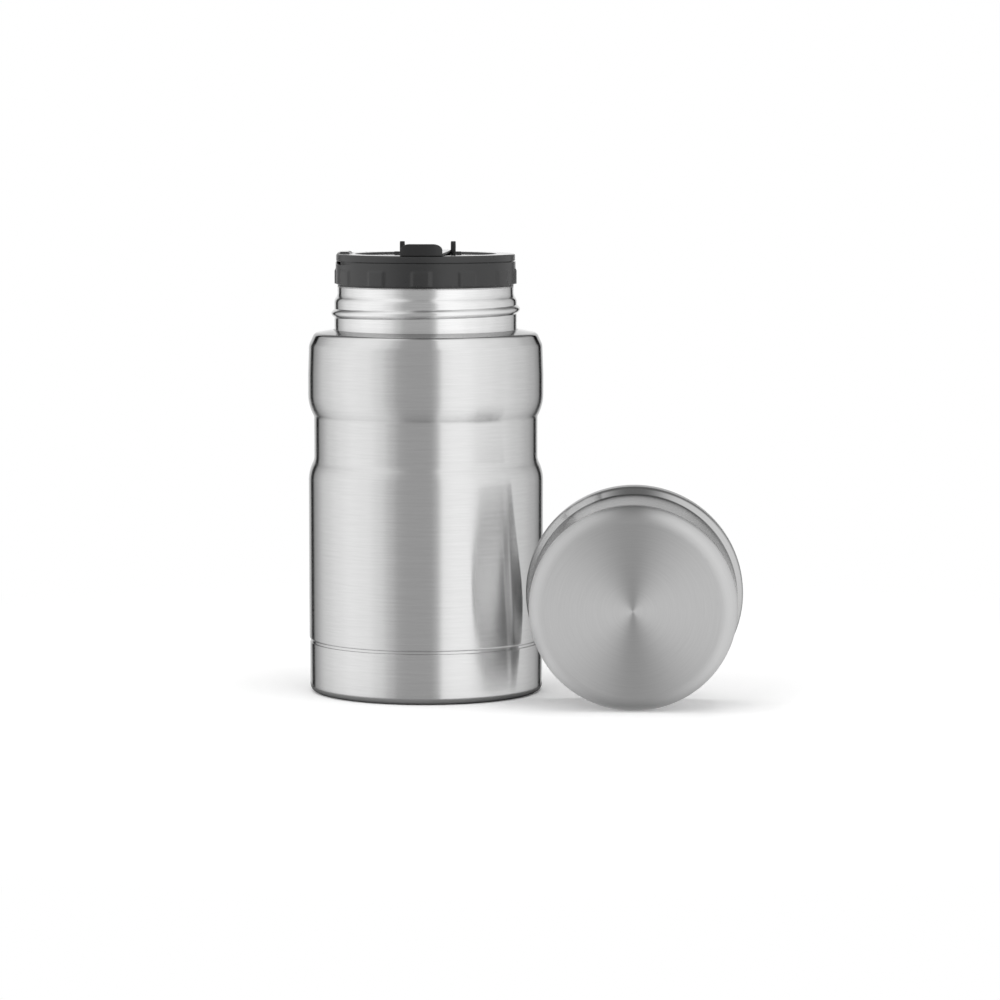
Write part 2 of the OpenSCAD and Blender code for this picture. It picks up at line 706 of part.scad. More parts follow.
// Top disc with its dish, hinge bosses, thumb lip and the spigot that snaps
// into the collar
module stopper_top() {
    color("#333333") on_stopper() difference() {
        union() {
            rotate_extrude() polygon(concat(
                [
                    [0, dish_under_z], [spigot_r - spigot_wall, dish_under_z],
                    [spigot_r - spigot_wall, seam_z - spigot_h],
                    [spigot_r, seam_z - spigot_h], [spigot_r, seam_z],
                    [top_r - seam_depth, seam_z],
                    [top_r - seam_depth, seam_z + top_seam],
                    [top_r, seam_z + top_seam]
                ],
                arc([top_r - top_edge_r, rim_z - top_edge_r], top_edge_r, 0, 90),
                [[dish_r, rim_z], [dish_r, dish_z], [0, dish_z]]
            ));
            hinge_boss(boss_in);
            hinge_boss(-boss_out);
            thumb_lip();
        }
        translate([0, -tube_front, dish_under_z - join])
            cylinder(r = tube_r + tube_gap, h = dish_floor_t + 2 * join);
        translate([-boss_in, hinge_back - pocket_front, rim_z - pocket_depth])
            cube([2 * boss_in, pocket_front + pocket_back, pocket_depth]);
        translate([-boss_out - join, hinge_back, hinge_z]) rotate([0, 90, 0])
            cylinder(r = pin_r, h = 2 * (boss_out + join));
    }
}

// Flanged tube from the dish down through the stopper
module sip_tube() {
    tube_z = skirt_z - tube_end;
    color("#3a3a3a") on_stopper() translate([0, -tube_front, 0]) difference() {
        union() {
            translate([0, 0, tube_z]) cylinder(r = tube_r, h = dish_z - tube_z);
            translate([0, 0, dish_under_z - tube_flange_t])
                cylinder(r = tube_flange_r, h = tube_flange_t);
        }
        translate([0, 0, tube_z - join])
            cylinder(d = tube_bore, h = dish_z - tube_z + 2 * join);
    }
}

// Silicone ring round the tube on the stopper's floor
module tube_seal() {
    color("whitesmoke") on_stopper()
        translate([0, -tube_front, stopper_floor_z]) difference() {
            cylinder(r = tube_flange_r - seat_gap, h = tube_seal_t);
            translate([0, 0, -join])
                cylinder(r = tube_r + weld_gap, h = tube_seal_t + 2 * join);
        }
}

// Steel pin through the bosses and the cover's barrel
module hinge_pin() {
    color("silver") on_stopper() translate([-boss_out, hinge_back, hinge_z])
        rotate([0, 90, 0]) cylinder(r = pin_r, h = 2 * boss_out);
}

// One upright cheek at the cover's hinge
module cheek(from_x) {
    translate([from_x, hinge_back, 0]) rotate([0, 90, 0]) hull() {
        translate([-hinge_z, 0, 0]) cylinder(r = barrel_r, h = cheek_t, $fn = 32);
        translate([-(rim_z + cheek_h - cheek_tip_r), 0, 0])
            cylinder(r = cheek_tip_r, h = cheek_t, $fn = 32);
    }
}

// Thumb tab: an upright plate with round top corners, curved like the rim
module thumb_tab() {
    half = cover_w / 2;
    top = rim_z + tab_h;
    intersection() {
        translate([0, -top_r + 2 * tab_t, 0]) rotate([90, 0, 0])
            linear_extrude(2 * tab_t) polygon(concat(
                [[-half, cover_z], [half, cover_z]],
                arc([half - tab_corner_r, top - tab_corner_r], tab_corner_r, 0, 90),
                arc([tab_corner_r - half, top - tab_corner_r], tab_corner_r, 90, 180)
            ));
        difference() {
            cylinder(r = top_r, h = top + join);
            translate([0, 0, cover_z - join]) cylinder(r = top_r - tab_t, h = tab_h + 2 * join);
        }
    }
}

// Narrow cover across the dish, with its barrel, cheeks and thumb tab
module flip_cover() {
    color("#262626") on_stopper() difference() {
        union() {
            intersection() {
                translate([0, 0, cover_z]) linear_extrude(cover_t) polygon([
                    [-cover_w / 2, -top_r], [cover_w / 2, -top_r],
                    [cheek_in + join, hinge_back - barrel_r],
                    [cheek_in + join, hinge_back + cover_tail],
                    [-cheek_in - join, hinge_back + cover_tail],
                    [-cheek_in - join, hinge_back - barrel_r]
                ]);
                cylinder(r = top_r, h = cover_top_z + join);
            }
            translate([-cheek_in - join, hinge_back, hinge_z]) rotate([0, 90, 0])
                cylinder(r = barrel_r, h = 2 * (cheek_in + join));
            cheek(cheek_in);
            cheek(-cheek_out);
            thumb_tab();
        }
        translate([-cheek_out - join, hinge_back, hinge_z]) rotate([0, 90, 0])
            cylinder(r = pin_r + pin_gap, h = 2 * (cheek_out + join));
        translate([0, -tube_front, cover_z - join])
            cylinder(r = button_r + weld_gap, h = cover_t + 2 * join);
    }
}

// Silicone plug that closes the tube, held by a button in the cover
module sip_seal() {
    flange_z = dish_z + seal_gap;
    color("whitesmoke") on_stopper() translate([0, -tube_front, 0]) union() {
        translate([0, 0, dish_z - plug_h])
            cylinder(r1 = plug_r - plug_taper, r2 = plug_r, h = plug_h + seal_gap + join);
        translate([0, 0, flange_z]) cylinder(r = tube_r, h = cover_z - flange_z);
        translate([0, 0, cover_z - join]) cylinder(r = button_r, h = cover_t);
    }
}

// The lying cup: its closed face points forward
module lying_cup() {
    translate([cup_x, -cup_front, cup_z]) rotate([0, 0, -cup_yaw])
        rotate([cup_lean - 90, 0, 0]) children();
}

// Outside line of the cup, from the middle of its closed face to its rim
function cup_line(inset) = concat(
    [[0, inset]],
    arc([cup_r - cup_edge_r, cup_edge_r], cup_edge_r - inset, -90, 0),
    widen(cup_r, cup_rim_r, cup_step_l, cup_step_r, cup_step_r, inset),
    arc([cup_rim_r - cup_lip_r, cup_l - cup_lip_r], cup_lip_r - inset, 0, 90)
);

// Outside of the cup, with the rim turned in to meet the bowl
module cup_shell() {
    rim_in = cup_bore_r + cup_wall + weld_gap;
    color("silver") lying_cup() spun_sheet(
        concat(cup_line(0), [[rim_in, cup_l]]),
        concat(cup_line(cup_wall), [[rim_in, cup_l - cup_wall]]));
}

// Inside line of the cup's bowl, from the middle of its floor to its rim
function bowl_line(inset) = concat(
    [[0, bowl_floor_l + inset]],
    arc([bowl_r - bowl_corner_r, bowl_floor_l + bowl_corner_r],
        bowl_corner_r - inset, -90, 0),
    widen(bowl_r, cup_bore_r, cup_l - cup_bore_depth, bowl_step_r, bowl_step_r, inset),
    [[cup_bore_r - inset, cup_l]]
);

// Bowl of the cup, with the thread bead that fits the neck's bead
module cup_liner() {
    color("lightgray") lying_cup() union() {
        spun_sheet(bowl_line(-cup_wall), bowl_line(0));
        for (i = [0:cup_bead_count - 1])
            let (mid = (i - (cup_bead_count - 1) / 2) * 360 / cup_bead_count)
            screw_arc(cup_bore_r, -1, cup_bead_h, cup_bead_w, neck_bead_lead,
                cup_bead_sweep, mid, cup_l - cup_bead_l + neck_bead_lead * mid / 360);
    }
}

outer_shell();
base_cap();
base_disc();
vacuum_seal();
getter();
liner();
reflector_foil();
neck_sleeve();
rim_gasket();
stopper_body();
stopper_foam();
stopper_top();
sip_tube();
tube_seal();
hinge_pin();
flip_cover();
sip_seal();
cup_shell();
cup_liner();
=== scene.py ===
# %% [markdown]
# # An insulated food jar, its stopper with a flip cover, and its cup
#
# The jar is a vacuum flask for food. A brushed steel body stands on a pressed
# foot, a polished neck carries the stopper, and the double-walled cup lies
# beside it with its closed face to the front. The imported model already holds
# every piece at its real size and place. This script gives the pieces that
# can be seen their finished surfaces. The hidden ones keep their plain shapes
# and get a finish too.

import math

import bmesh
import bpy
from mathutils import Matrix, Vector


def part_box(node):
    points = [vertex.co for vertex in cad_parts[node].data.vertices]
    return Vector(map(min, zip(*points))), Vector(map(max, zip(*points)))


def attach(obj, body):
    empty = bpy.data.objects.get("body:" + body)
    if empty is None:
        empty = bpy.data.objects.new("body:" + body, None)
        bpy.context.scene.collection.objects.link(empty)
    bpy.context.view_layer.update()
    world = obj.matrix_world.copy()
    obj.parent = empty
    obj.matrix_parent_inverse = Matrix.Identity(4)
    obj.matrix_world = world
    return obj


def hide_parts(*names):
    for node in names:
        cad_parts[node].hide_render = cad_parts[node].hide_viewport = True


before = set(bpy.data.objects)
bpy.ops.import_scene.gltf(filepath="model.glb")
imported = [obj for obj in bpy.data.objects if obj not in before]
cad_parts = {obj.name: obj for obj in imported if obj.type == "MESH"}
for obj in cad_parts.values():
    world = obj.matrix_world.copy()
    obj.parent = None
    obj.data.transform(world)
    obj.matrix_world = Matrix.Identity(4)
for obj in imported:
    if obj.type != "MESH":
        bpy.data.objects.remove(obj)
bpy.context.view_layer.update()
print("nodes:", sorted(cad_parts))

# %% [markdown]
# ## The camera
#
# The photograph was taken with a long lens from 1.65 m away, a little to the
# right of the jar and a little above it. A long lens keeps the jar's sides
# almost parallel. Nothing is shifted: the jar stands left of the middle
# because the camera stands to the right of it.

# %% The camera
mm = 0.001
CAMERA_PLACE = (31.6 * mm, -1648.9 * mm, 235 * mm)
CAMERA_TILT = 5.32
LENS = 139.5

camera = bpy.data.objects.new("camera", bpy.data.cameras.new("camera"))
camera.data.lens = LENS
camera.data.sensor_width = 36
camera.location = CAMERA_PLACE
camera.rotation_euler = (math.radians(90 - CAMERA_TILT), 0, 0)
bpy.context.collection.objects.link(camera)
bpy.context.scene.camera = camera
print("camera at", [round(v, 3) for v in camera.location])

# %% [markdown]
# ## The studio
#
# Polished and brushed metal has hardly a colour of its own: it shows the
# room. The room here is what a product photographer builds. Tall white
# panels stand left and right, the space round the camera is darker, and a
# narrow black card stands behind each side of the jar. Those cards draw the
# thin dark lines inside the jar's outline. It could be built from planes, but
# the world's shader can hold it all as brightness against the direction of a
# ray, and then it is right from any side. Behind the jar the white backdrop
# ends at some height, and edges that look up and back mirror the dark above
# it. Only camera rays see plain white.

# %% The brightness of the studio, all round
# Degrees from the camera's side, positive to the right, and brightness
STUDIO = [
    (-180, 1.00), (-162, 0.85), (-157, 0.70), (-154, 0.00), (-146, 0.00), (-142, 0.46),
    (-115, 0.75), (-96, 0.86), (-80, 0.93), (-60, 0.89), (-46, 0.75), (-34, 0.53),
    (-26, 0.39), (-18, 0.37), (6, 0.37), (11, 0.46), (19, 0.94), (30, 1.00),
    (42, 1.00), (60, 0.91), (82, 0.81), (108, 0.68), (131, 0.56), (146, 0.44),
    (151, 0.00), (158, 0.00), (162, 0.80), (180, 1.00),
]
STUDIO_STRENGTH = 1.18
# Brightness where the backdrop has ended, overhead and underneath. Each is
# reached between two angles, in degrees round the jar or above the horizon
HIGH_BACK = 0.12
HIGH_STARTS, HIGH_FULL = 14, 34
BACK_STARTS, BACK_FULL = 112, 150
CEILING = 0.15
CEILING_STARTS, CEILING_FULL = 62, 88
UNDERSIDE = 0.15
UNDERSIDE_FULL, UNDERSIDE_STARTS = -90, -35
print("studio of", len(STUDIO), "tones, up to", STUDIO_STRENGTH)

# %% Helpers for nodes


def link(tree, source, target):
    tree.links.new(source, target)


def math_node(tree, operation, *values):
    """A Math node whose inputs are sockets or plain numbers."""
    node = tree.nodes.new("ShaderNodeMath")
    node.operation = operation
    for socket, value in zip(node.inputs, values):
        if isinstance(value, (int, float)):
            socket.default_value = value
        else:
            link(tree, value, socket)
    return node.outputs[0]


def ease(tree, value, low, high, at_low, at_high):
    """A smooth step of a socket from at_low to at_high."""
    node = tree.nodes.new("ShaderNodeMapRange")
    node.interpolation_type = "SMOOTHSTEP"
    link(tree, value, node.inputs["Value"])
    for name, number in zip(("From Min", "From Max", "To Min", "To Max"),
                            (low, high, at_low, at_high)):
        node.inputs[name].default_value = number
    return node.outputs["Result"]


def mix_number(tree, share, first, second):
    """first where share is 0 and second where it is 1."""
    node = tree.nodes.new("ShaderNodeMix")
    link(tree, share, node.inputs["Factor"])
    for socket, value in zip(node.inputs[2:4], (first, second)):
        if isinstance(value, (int, float)):
            socket.default_value = value
        else:
            link(tree, value, socket)
    return node.outputs[0]


print("node helpers: link, math_node, ease, mix_number")

# %% The world's shader
world = bpy.data.worlds.new("studio")
bpy.context.scene.world = world
world.use_nodes = True
tree = world.node_tree
tree.nodes.clear()
direction = tree.nodes.new("ShaderNodeTexCoord").outputs["Generated"]
split = tree.nodes.new("ShaderNodeSeparateXYZ")
link(tree, direction, split.inputs[0])
toward_camera = math_node(tree, "MULTIPLY", split.outputs["Y"], -1.0)
azimuth = math_node(tree, "ARCTAN2", split.outputs["X"], toward_camera)
turn = math_node(tree, "MULTIPLY_ADD", azimuth, 0.5 / math.pi, 0.5)
ramp = tree.nodes.new("ShaderNodeValToRGB")
ramp.color_ramp.interpolation = "EASE"
for _ in range(len(STUDIO) - 2):
    ramp.color_ramp.elements.new(0.5)
for element, (degrees, light) in zip(ramp.color_ramp.elements, STUDIO):
    element.position = degrees / 360 + 0.5
for element, (degrees, light) in zip(ramp.color_ramp.elements, STUDIO):
    element.color = (light, light, light, 1)
link(tree, turn, ramp.inputs["Fac"])
height = math_node(tree, "ARCSINE", split.outputs["Z"])
behind = ease(tree, math_node(tree, "ABSOLUTE", azimuth), math.radians(BACK_STARTS),
              math.radians(BACK_FULL), 0, 1)
raised = ease(tree, height, math.radians(HIGH_STARTS), math.radians(HIGH_FULL), 0, 1)
high_back = math_node(tree, "MULTIPLY", behind, raised)
walls = mix_number(tree, high_back, ramp.outputs["Color"], HIGH_BACK)
overhead = ease(tree, height, math.radians(CEILING_STARTS), math.radians(CEILING_FULL), 0, 1)
walls = mix_number(tree, overhead, walls, CEILING)
below = ease(tree, height, math.radians(UNDERSIDE_FULL), math.radians(UNDERSIDE_STARTS),
             UNDERSIDE, 1)
room = math_node(tree, "MULTIPLY", walls, below)
room = math_node(tree, "MULTIPLY", room, STUDIO_STRENGTH)
seen = tree.nodes.new("ShaderNodeLightPath").outputs["Is Camera Ray"]
shade = mix_number(tree, seen, room, 1.0)
background = tree.nodes.new("ShaderNodeBackground")
background.inputs["Color"].default_value = (1, 1, 1, 1)
link(tree, shade, background.inputs["Strength"])
output = tree.nodes.new("ShaderNodeOutputWorld")
link(tree, background.outputs[0], output.inputs["Surface"])
world.cycles.sampling_method = "NONE"
bpy.context.scene.view_settings.view_transform = "Standard"
print("world's shader of", len(tree.nodes), "nodes")

# %% [markdown]
# ## Floor and lamps
#
# The photograph's ground is pure white with a faint shadow near the pieces.
# A white diffuse floor gives the shadow near them. Further out, camera rays
# see plain white, and the mirror images in the steel see through the floor,
# so that the studio's upright bands run on below the horizon. Only a ring
# right round the jar shows in the steel, and there the floor's colour is
# darkened for mirror images. That is painted shade: the foot's lower edge
# mirrors it as a dark contact shadow.
# Two large soft lamps fill what the panels leave dark. They light the
# plastic and the floor, and are kept out of the mirror images in the steel.

# %% The floor
FLOOR_SIZE = 6.0
# Its brightness for light that bounces and for the camera, then a darker
# painted shade that mirror images see near the jar
FLOOR_COLOR = 0.8
FLOOR_SEEN = 1.1
FLOOR_PAINTED_SHADE_IN_MIRRORS = 0.3
# Distances in metres, from a point between the jar and the cup
FLOOR_MIDDLE = (0.04, -0.03)
SHADED, WHITE = 0.10, 0.45
# Distances from the jar's axis: the ring of painted shade in mirror images,
# then where mirror images see through the floor
MIRRORED, SEEN_THROUGH = 0.052, 0.064


def blend_shaders(tree, share, first, second):
    """The first shader where share is 0 and the second where it is 1."""
    node = tree.nodes.new("ShaderNodeMixShader")
    link(tree, share, node.inputs["Fac"])
    link(tree, first, node.inputs[1])
    link(tree, second, node.inputs[2])
    return node.outputs[0]


def distance_from(tree, point, x, y):
    """How far a point of the floor lies from (x, y)."""
    right = math_node(tree, "SUBTRACT", point.outputs["X"], x)
    back = math_node(tree, "SUBTRACT", point.outputs["Y"], y)
    squares = [math_node(tree, "MULTIPLY", side, side) for side in (right, back)]
    return math_node(tree, "SQRT", math_node(tree, "ADD", *squares))


mesh = bpy.data.meshes.new("floor")
reach = FLOOR_SIZE / 2
mesh.from_pydata([(-reach, -reach, 0), (reach, -reach, 0), (reach, reach, 0), (-reach, reach, 0)],
                 [], [(0, 1, 2, 3)])
floor = bpy.data.objects.new("floor", mesh)
bpy.context.collection.objects.link(floor)
material = bpy.data.materials.new("white_floor")
material.use_nodes = True
tree = material.node_tree
tree.nodes.clear()
matte = tree.nodes.new("ShaderNodeBsdfDiffuse")
paths = tree.nodes.new("ShaderNodeLightPath").outputs
brightness = mix_number(tree, paths["Is Camera Ray"], FLOOR_COLOR, FLOOR_SEEN)
# Mirror images see a darker floor colour near the jar: painted shade
brightness = mix_number(tree, paths["Is Glossy Ray"], brightness, FLOOR_PAINTED_SHADE_IN_MIRRORS)
color = tree.nodes.new("ShaderNodeCombineColor")
for channel in ("Red", "Green", "Blue"):
    link(tree, brightness, color.inputs[channel])
link(tree, color.outputs[0], matte.inputs["Color"])
split = tree.nodes.new("ShaderNodeSeparateXYZ")
link(tree, tree.nodes.new("ShaderNodeTexCoord").outputs["Object"], split.inputs[0])
away = distance_from(tree, split, *FLOOR_MIDDLE)
from_jar = distance_from(tree, split, 0.0, 0.0)
far = math_node(tree, "MULTIPLY", ease(tree, away, SHADED, WHITE, 0, 1), paths["Is Camera Ray"])
gone = math_node(tree, "MULTIPLY", ease(tree, from_jar, MIRRORED, SEEN_THROUGH, 0, 1),
                 paths["Is Glossy Ray"])
white = tree.nodes.new("ShaderNodeEmission").outputs[0]
clear = tree.nodes.new("ShaderNodeBsdfTransparent").outputs[0]
ground = blend_shaders(tree, far, matte.outputs[0], white)
ground = blend_shaders(tree, gone, ground, clear)
output = tree.nodes.new("ShaderNodeOutputMaterial")
link(tree, ground, output.inputs["Surface"])
floor.data.materials.append(material)
print("floor", FLOOR_SIZE, "m wide")

# %% The lamps
LAMPS = [
    ("top_lamp", (0.0, 0.1, 1.3), 1.2, 7.0),
    ("front_lamp", (-0.7, -1.3, 0.9), 0.9, 5.0),
]
for name, place, size, power in LAMPS:
    lamp = bpy.data.lights.new(name, "AREA")
    lamp.size = size
    lamp.energy = power
    holder = bpy.data.objects.new(name, lamp)
    holder.location = place
    aim = Vector((0, 0, 0.08)) - Vector(place)
    holder.rotation_euler = aim.to_track_quat("-Z", "Y").to_euler()
    holder.visible_glossy = False
    bpy.context.collection.objects.link(holder)
print("lamps:", [row[0] for row in LAMPS])

# %% [markdown]
# ## Outlines and spinning
#
# Nearly every piece here was spun, pressed or turned, so it is round about an
# axis. In Blender such a piece could be a Screw modifier on a curve, but a
# list of radius and height points and a loop give full control. Each point
# can be moved as it is spun, and that is how threads, beads and grip lugs
# grow out of the wall without a seam. All outlines are in millimetres.

# %% Outline helpers
SIDES, FINE_SIDES, TUBE_SIDES = 192, 240, 64


def arc(r, z, radius, start, end, steps=10):
    """Points of an arc about (r, z), from start to end in degrees."""
    points = []
    for i in range(steps + 1):
        a = math.radians(start + (end - start) * i / steps)
        points.append((r + radius * math.cos(a), z + radius * math.sin(a)))
    return points


def rounded(corners, closed=True, steps=4):
    """A line through (r, z, radius) corners, each rounded to its own radius."""
    points = []
    for i, (r, z, radius) in enumerate(corners):
        inner = closed or 0 < i < len(corners) - 1
        here = Vector((r, z))
        if not radius or not inner:
            points.append((r, z))
            continue
        before = (Vector(corners[i - 1][:2]) - here).normalized()
        after = (Vector(corners[(i + 1) % len(corners)][:2]) - here).normalized()
        half = before.angle(after) / 2
        start = here + before * radius / math.tan(half)
        end = here + after * radius / math.tan(half)
        centre = here + (before + after).normalized() * radius / math.sin(half)
        for k in range(steps + 1):
            spoke = (start - centre).slerp(end - centre, k / steps).normalized()
            points.append(tuple(centre + spoke * radius))
    return points


def stretch(points, step, low, high):
    """Adds points to a line, so that none between two heights are a step apart."""
    out = [points[0]]
    for (r0, z0), (r1, z1) in zip(points, points[1:]):
        count = 1
        if max(z0, z1) > low and min(z0, z1) < high:
            count = max(1, math.ceil(abs(z1 - z0) / step))
        out += [(r0 + (r1 - r0) * k / count, z0 + (z1 - z0) * k / count)
                for k in range(1, count + 1)]
    return out


def draw_angle(outer, inner, convex, concave):
    return math.acos(1 - (outer - inner) / (convex + concave))


def draw_rise(outer, inner, convex, concave):
    """Height over which a wall with these two radii draws in."""
    return (convex + concave) * math.sin(draw_angle(outer, inner, convex, concave))


def draw_in(outer, inner, z, convex, concave, inset=0.0, steps=10):
    """A wall that draws in from one radius to another above z, moved in by inset."""
    angle = math.degrees(draw_angle(outer, inner, convex, concave))
    top = z + draw_rise(outer, inner, convex, concave)
    return (arc(outer - convex, z, convex - inset, 0, angle, steps)
            + arc(inner + concave, top, concave + inset, 180 + angle, 180, steps))


def widen(inner, outer, z, concave, convex, inset=0.0, steps=8):
    """The same upside down: a wall that widens from one radius to another above z."""
    rise = draw_rise(outer, inner, convex, concave)
    line = draw_in(outer, inner, -z - rise, convex, concave, inset, steps)
    return [(r, -height) for r, height in line[::-1]]


def flare_out(inner, outer, z, concave, convex, turn, inset=0.0, steps=6):
    """A wall that widens above z with a straight stretch between two arcs."""
    slope, radii = math.radians(turn), concave + convex
    straight = (outer - inner - radii * (1 - math.cos(slope))) / math.tan(slope)
    top = z + radii * math.sin(slope) + straight
    return (arc(inner + concave, z, concave + inset, 180, 180 - turn, steps)
            + arc(outer - convex, top, convex - inset, -turn, 0, steps))


print("a quarter round of 10 mm has", len(arc(0, 0, 10, 0, 90)), "points")

# %% Making meshes
SHARP = math.radians(24)


def add_piece(name, verts, faces):
    """An object of a list of points and faces, smooth where it isn't sharp."""
    mesh = bpy.data.meshes.new(name)
    mesh.from_pydata(verts, [], faces)
    work = bmesh.new()
    work.from_mesh(mesh)
    bmesh.ops.recalc_face_normals(work, faces=work.faces)
    work.to_mesh(mesh)
    work.free()
    smooth(mesh)
    piece = bpy.data.objects.new(name, mesh)
    bpy.context.collection.objects.link(piece)
    return piece


def smooth(mesh):
    mesh.shade_smooth()
    mesh.set_sharp_from_angle(angle=SHARP)


def spin(name, outline, relief=None, closed=True, sides=SIDES):
    """Spins an outline about Z. relief moves a point (r, z) at an angle."""
    verts, rows, faces = [], [], []
    for r, z in outline:
        if r < 1e-6:
            rows.append([len(verts)] * sides)
            verts.append((0, 0, z * mm))
            continue
        rows.append(range(len(verts), len(verts) + sides))
        for i in range(sides):
            a = 2 * math.pi * i / sides
            ra, za = relief(r, z, math.degrees(a)) if relief else (r, z)
            verts.append((ra * math.cos(a) * mm, ra * math.sin(a) * mm, za * mm))
    pairs = list(zip(rows, rows[1:]))
    if closed:
        pairs.append((rows[-1], rows[0]))
    for low, high in pairs:
        for i in range(sides):
            j = (i + 1) % sides
            face = list(dict.fromkeys((low[i], low[j], high[j], high[i])))
            if len(face) > 2:
                faces.append(face)
    return add_piece(name, verts, faces)


def settle(piece, body, nodes, material, place=None):
    """Puts a finished piece in its place, on its body, for its CAD nodes."""
    if place is not None:
        piece.matrix_world = place
    piece.data.materials.clear()
    piece.data.materials.append(material)
    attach(piece, body)
    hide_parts(*nodes)
    print(piece.name, len(piece.data.polygons), "faces on", body)


print("edges over", round(math.degrees(SHARP)), "degrees stay sharp")

# %% [markdown]
# ## Brushed steel
#
# Brushing leaves fine lines that run round the piece. They smear a mirror
# image across the lines and keep it sharp along them, so the studio shows as
# upright bands on the body and as a fan on the cup's closed face. The shader
# does this with anisotropy. Its tangent turns about the piece's own axis, and
# a quarter turn of it points the smear across the lines. Noise that is drawn
# out round the axis gives the lines a little tone, gloss and depth.

# %% The steel's shader
QUARTER_TURN = 0.25
# Length and width of the brushed lines, then how deep the fine ones are
COARSE_LINE = (22 * mm, 0.7 * mm)
FINE_LINE = (9 * mm, 0.18 * mm)
LINE_DEPTH, LINE_BUMP = 0.02 * mm, 0.1
# Noise keeps near 0.5, so tone and gloss change between these two of its values
TONE_NOISE, PATCH_NOISE = (0.32, 0.68), (0.3, 0.7)
STEEL_PATCHES = (0.95, 1.05)


def principled(name):
    """A new material with its tree and its shader."""
    material = bpy.data.materials.new(name)
    material.use_nodes = True
    tree = material.node_tree
    return material, tree, tree.nodes["Principled BSDF"]


def noise(tree, vector, scale, detail=2.0, roughness=0.5):
    node = tree.nodes.new("ShaderNodeTexNoise")
    node.inputs["Scale"].default_value = scale
    node.inputs["Detail"].default_value = detail
    node.inputs["Roughness"].default_value = roughness
    link(tree, vector, node.inputs["Vector"])
    return node.outputs["Fac"]


def grain_vector(tree, lean, length, width):
    """Coordinates in which noise is drawn out round Z: length along a line and
    width across it, in metres. lean is 1 where the piece widens upwards. The
    height comes with them."""
    place = tree.nodes.new("ShaderNodeTexCoord").outputs["Object"]
    split = tree.nodes.new("ShaderNodeSeparateXYZ")
    link(tree, place, split.inputs[0])
    x2 = math_node(tree, "MULTIPLY", split.outputs["X"], split.outputs["X"])
    y2 = math_node(tree, "MULTIPLY", split.outputs["Y"], split.outputs["Y"])
    radius = math_node(tree, "SQRT", math_node(tree, "ADD", x2, y2))
    across = math_node(tree, "MULTIPLY_ADD", radius, lean, split.outputs["Z"])
    join = tree.nodes.new("ShaderNodeCombineXYZ")
    for socket, value, scale in zip(join.inputs,
                                    (split.outputs["X"], split.outputs["Y"], across),
                                    (1 / length, 1 / length, 1 / width)):
        link(tree, math_node(tree, "MULTIPLY", value, scale), socket)
    return join.outputs[0], split.outputs["Z"]


def steel(name, tone, roughness, anisotropy, streak, lean=-1.0, edge=1.0):
    """Steel brushed round the piece's own Z axis. roughness is a number, or two
    (height, roughness) pairs where the brushing thins out between two heights.
    edge is how bright it is at a grazing angle."""
    material, tree, shader = principled(name)
    shader.inputs["Metallic"].default_value = 1.0
    shader.inputs["Anisotropic"].default_value = anisotropy
    shader.inputs["Anisotropic Rotation"].default_value = QUARTER_TURN
    shader.inputs["Specular Tint"].default_value = (edge, edge, edge, 1)
    tangent = tree.nodes.new("ShaderNodeTangent")
    tangent.direction_type = "RADIAL"
    tangent.axis = "Z"
    link(tree, tangent.outputs[0], shader.inputs["Tangent"])
    lines, height = grain_vector(tree, lean, *COARSE_LINE)
    coarse = noise(tree, lines, 1.0, 2.0, 0.6)
    fine = noise(tree, grain_vector(tree, lean, *FINE_LINE)[0], 1.0, 3.0, 0.7)
    both = math_node(tree, "MULTIPLY", math_node(tree, "ADD", coarse, fine), 0.5)
    low, high = tone * (1 - streak), tone * (1 + streak)
    level = ease(tree, both, *TONE_NOISE, low, high)
    color = tree.nodes.new("ShaderNodeCombineColor")
    for channel in ("Red", "Green", "Blue"):
        link(tree, level, color.inputs[channel])
    link(tree, color.outputs[0], shader.inputs["Base Color"])
    if isinstance(roughness, tuple):
        (low, at_low), (high, at_high) = roughness
        base = ease(tree, height, low * mm, high * mm, at_low, at_high)
    else:
        base = roughness
    patchy = ease(tree, coarse, *PATCH_NOISE, *STEEL_PATCHES)
    link(tree, math_node(tree, "MULTIPLY", patchy, base), shader.inputs["Roughness"])
    bump = tree.nodes.new("ShaderNodeBump")
    bump.inputs["Strength"].default_value = LINE_BUMP
    bump.inputs["Distance"].default_value = LINE_DEPTH
    link(tree, fine, bump.inputs["Height"])
    link(tree, bump.outputs[0], shader.inputs["Normal"])
    return material


print("brushed lines are", COARSE_LINE[0] / mm, "and", FINE_LINE[0] / mm, "mm long")

# %% The steel finishes
# How bright brushed steel is at a grazing angle, where a mirror has 1
EDGE_TONE = 0.6
foot_steel = steel("foot_steel", 0.70, ((1.5, 0.12), (7, 0.24)), 1.0, 0.035, 1.0, EDGE_TONE)
neck_steel = steel("neck_steel", 0.81, 0.2, 0.9, 0.04, edge=0.8)
cup_steel = steel("cup_steel", 0.73, ((3, 0.38), (10, 0.15)), 1.0, 0.03, 1.0, EDGE_TONE)
bowl_steel = steel("bowl_steel", 0.64, 0.42, 0.85, 0.04, 1.0)
print("steel finishes:", [m.name for m in (foot_steel, neck_steel, cup_steel, bowl_steel)])

# %% [markdown]
# ## Moulded plastic, silicone and the small metals
#
# The stopper is black plastic. Its sides have a fine spark-eroded grain, and
# what grey they show is the studio in it. Its upper faces are polished in
# the mould, so that at a low angle they mirror the backdrop. Roughness that
# follows the piece's own upward direction gives both in one material. The
# silicone is milky and soft. The rest is hidden, and still gets a finish.

# %% The shader of moulded pieces
CLOUD_SCALE = 60.0
# How far a face turns upwards (the height of its normal) before it is polished
POLISH_STARTS, POLISH_FULL = 0.7, 0.97
SIDE_BUMP, TOP_BUMP = 0.3, 0.03
PLASTIC_PATCHES = (0.9, 1.1)


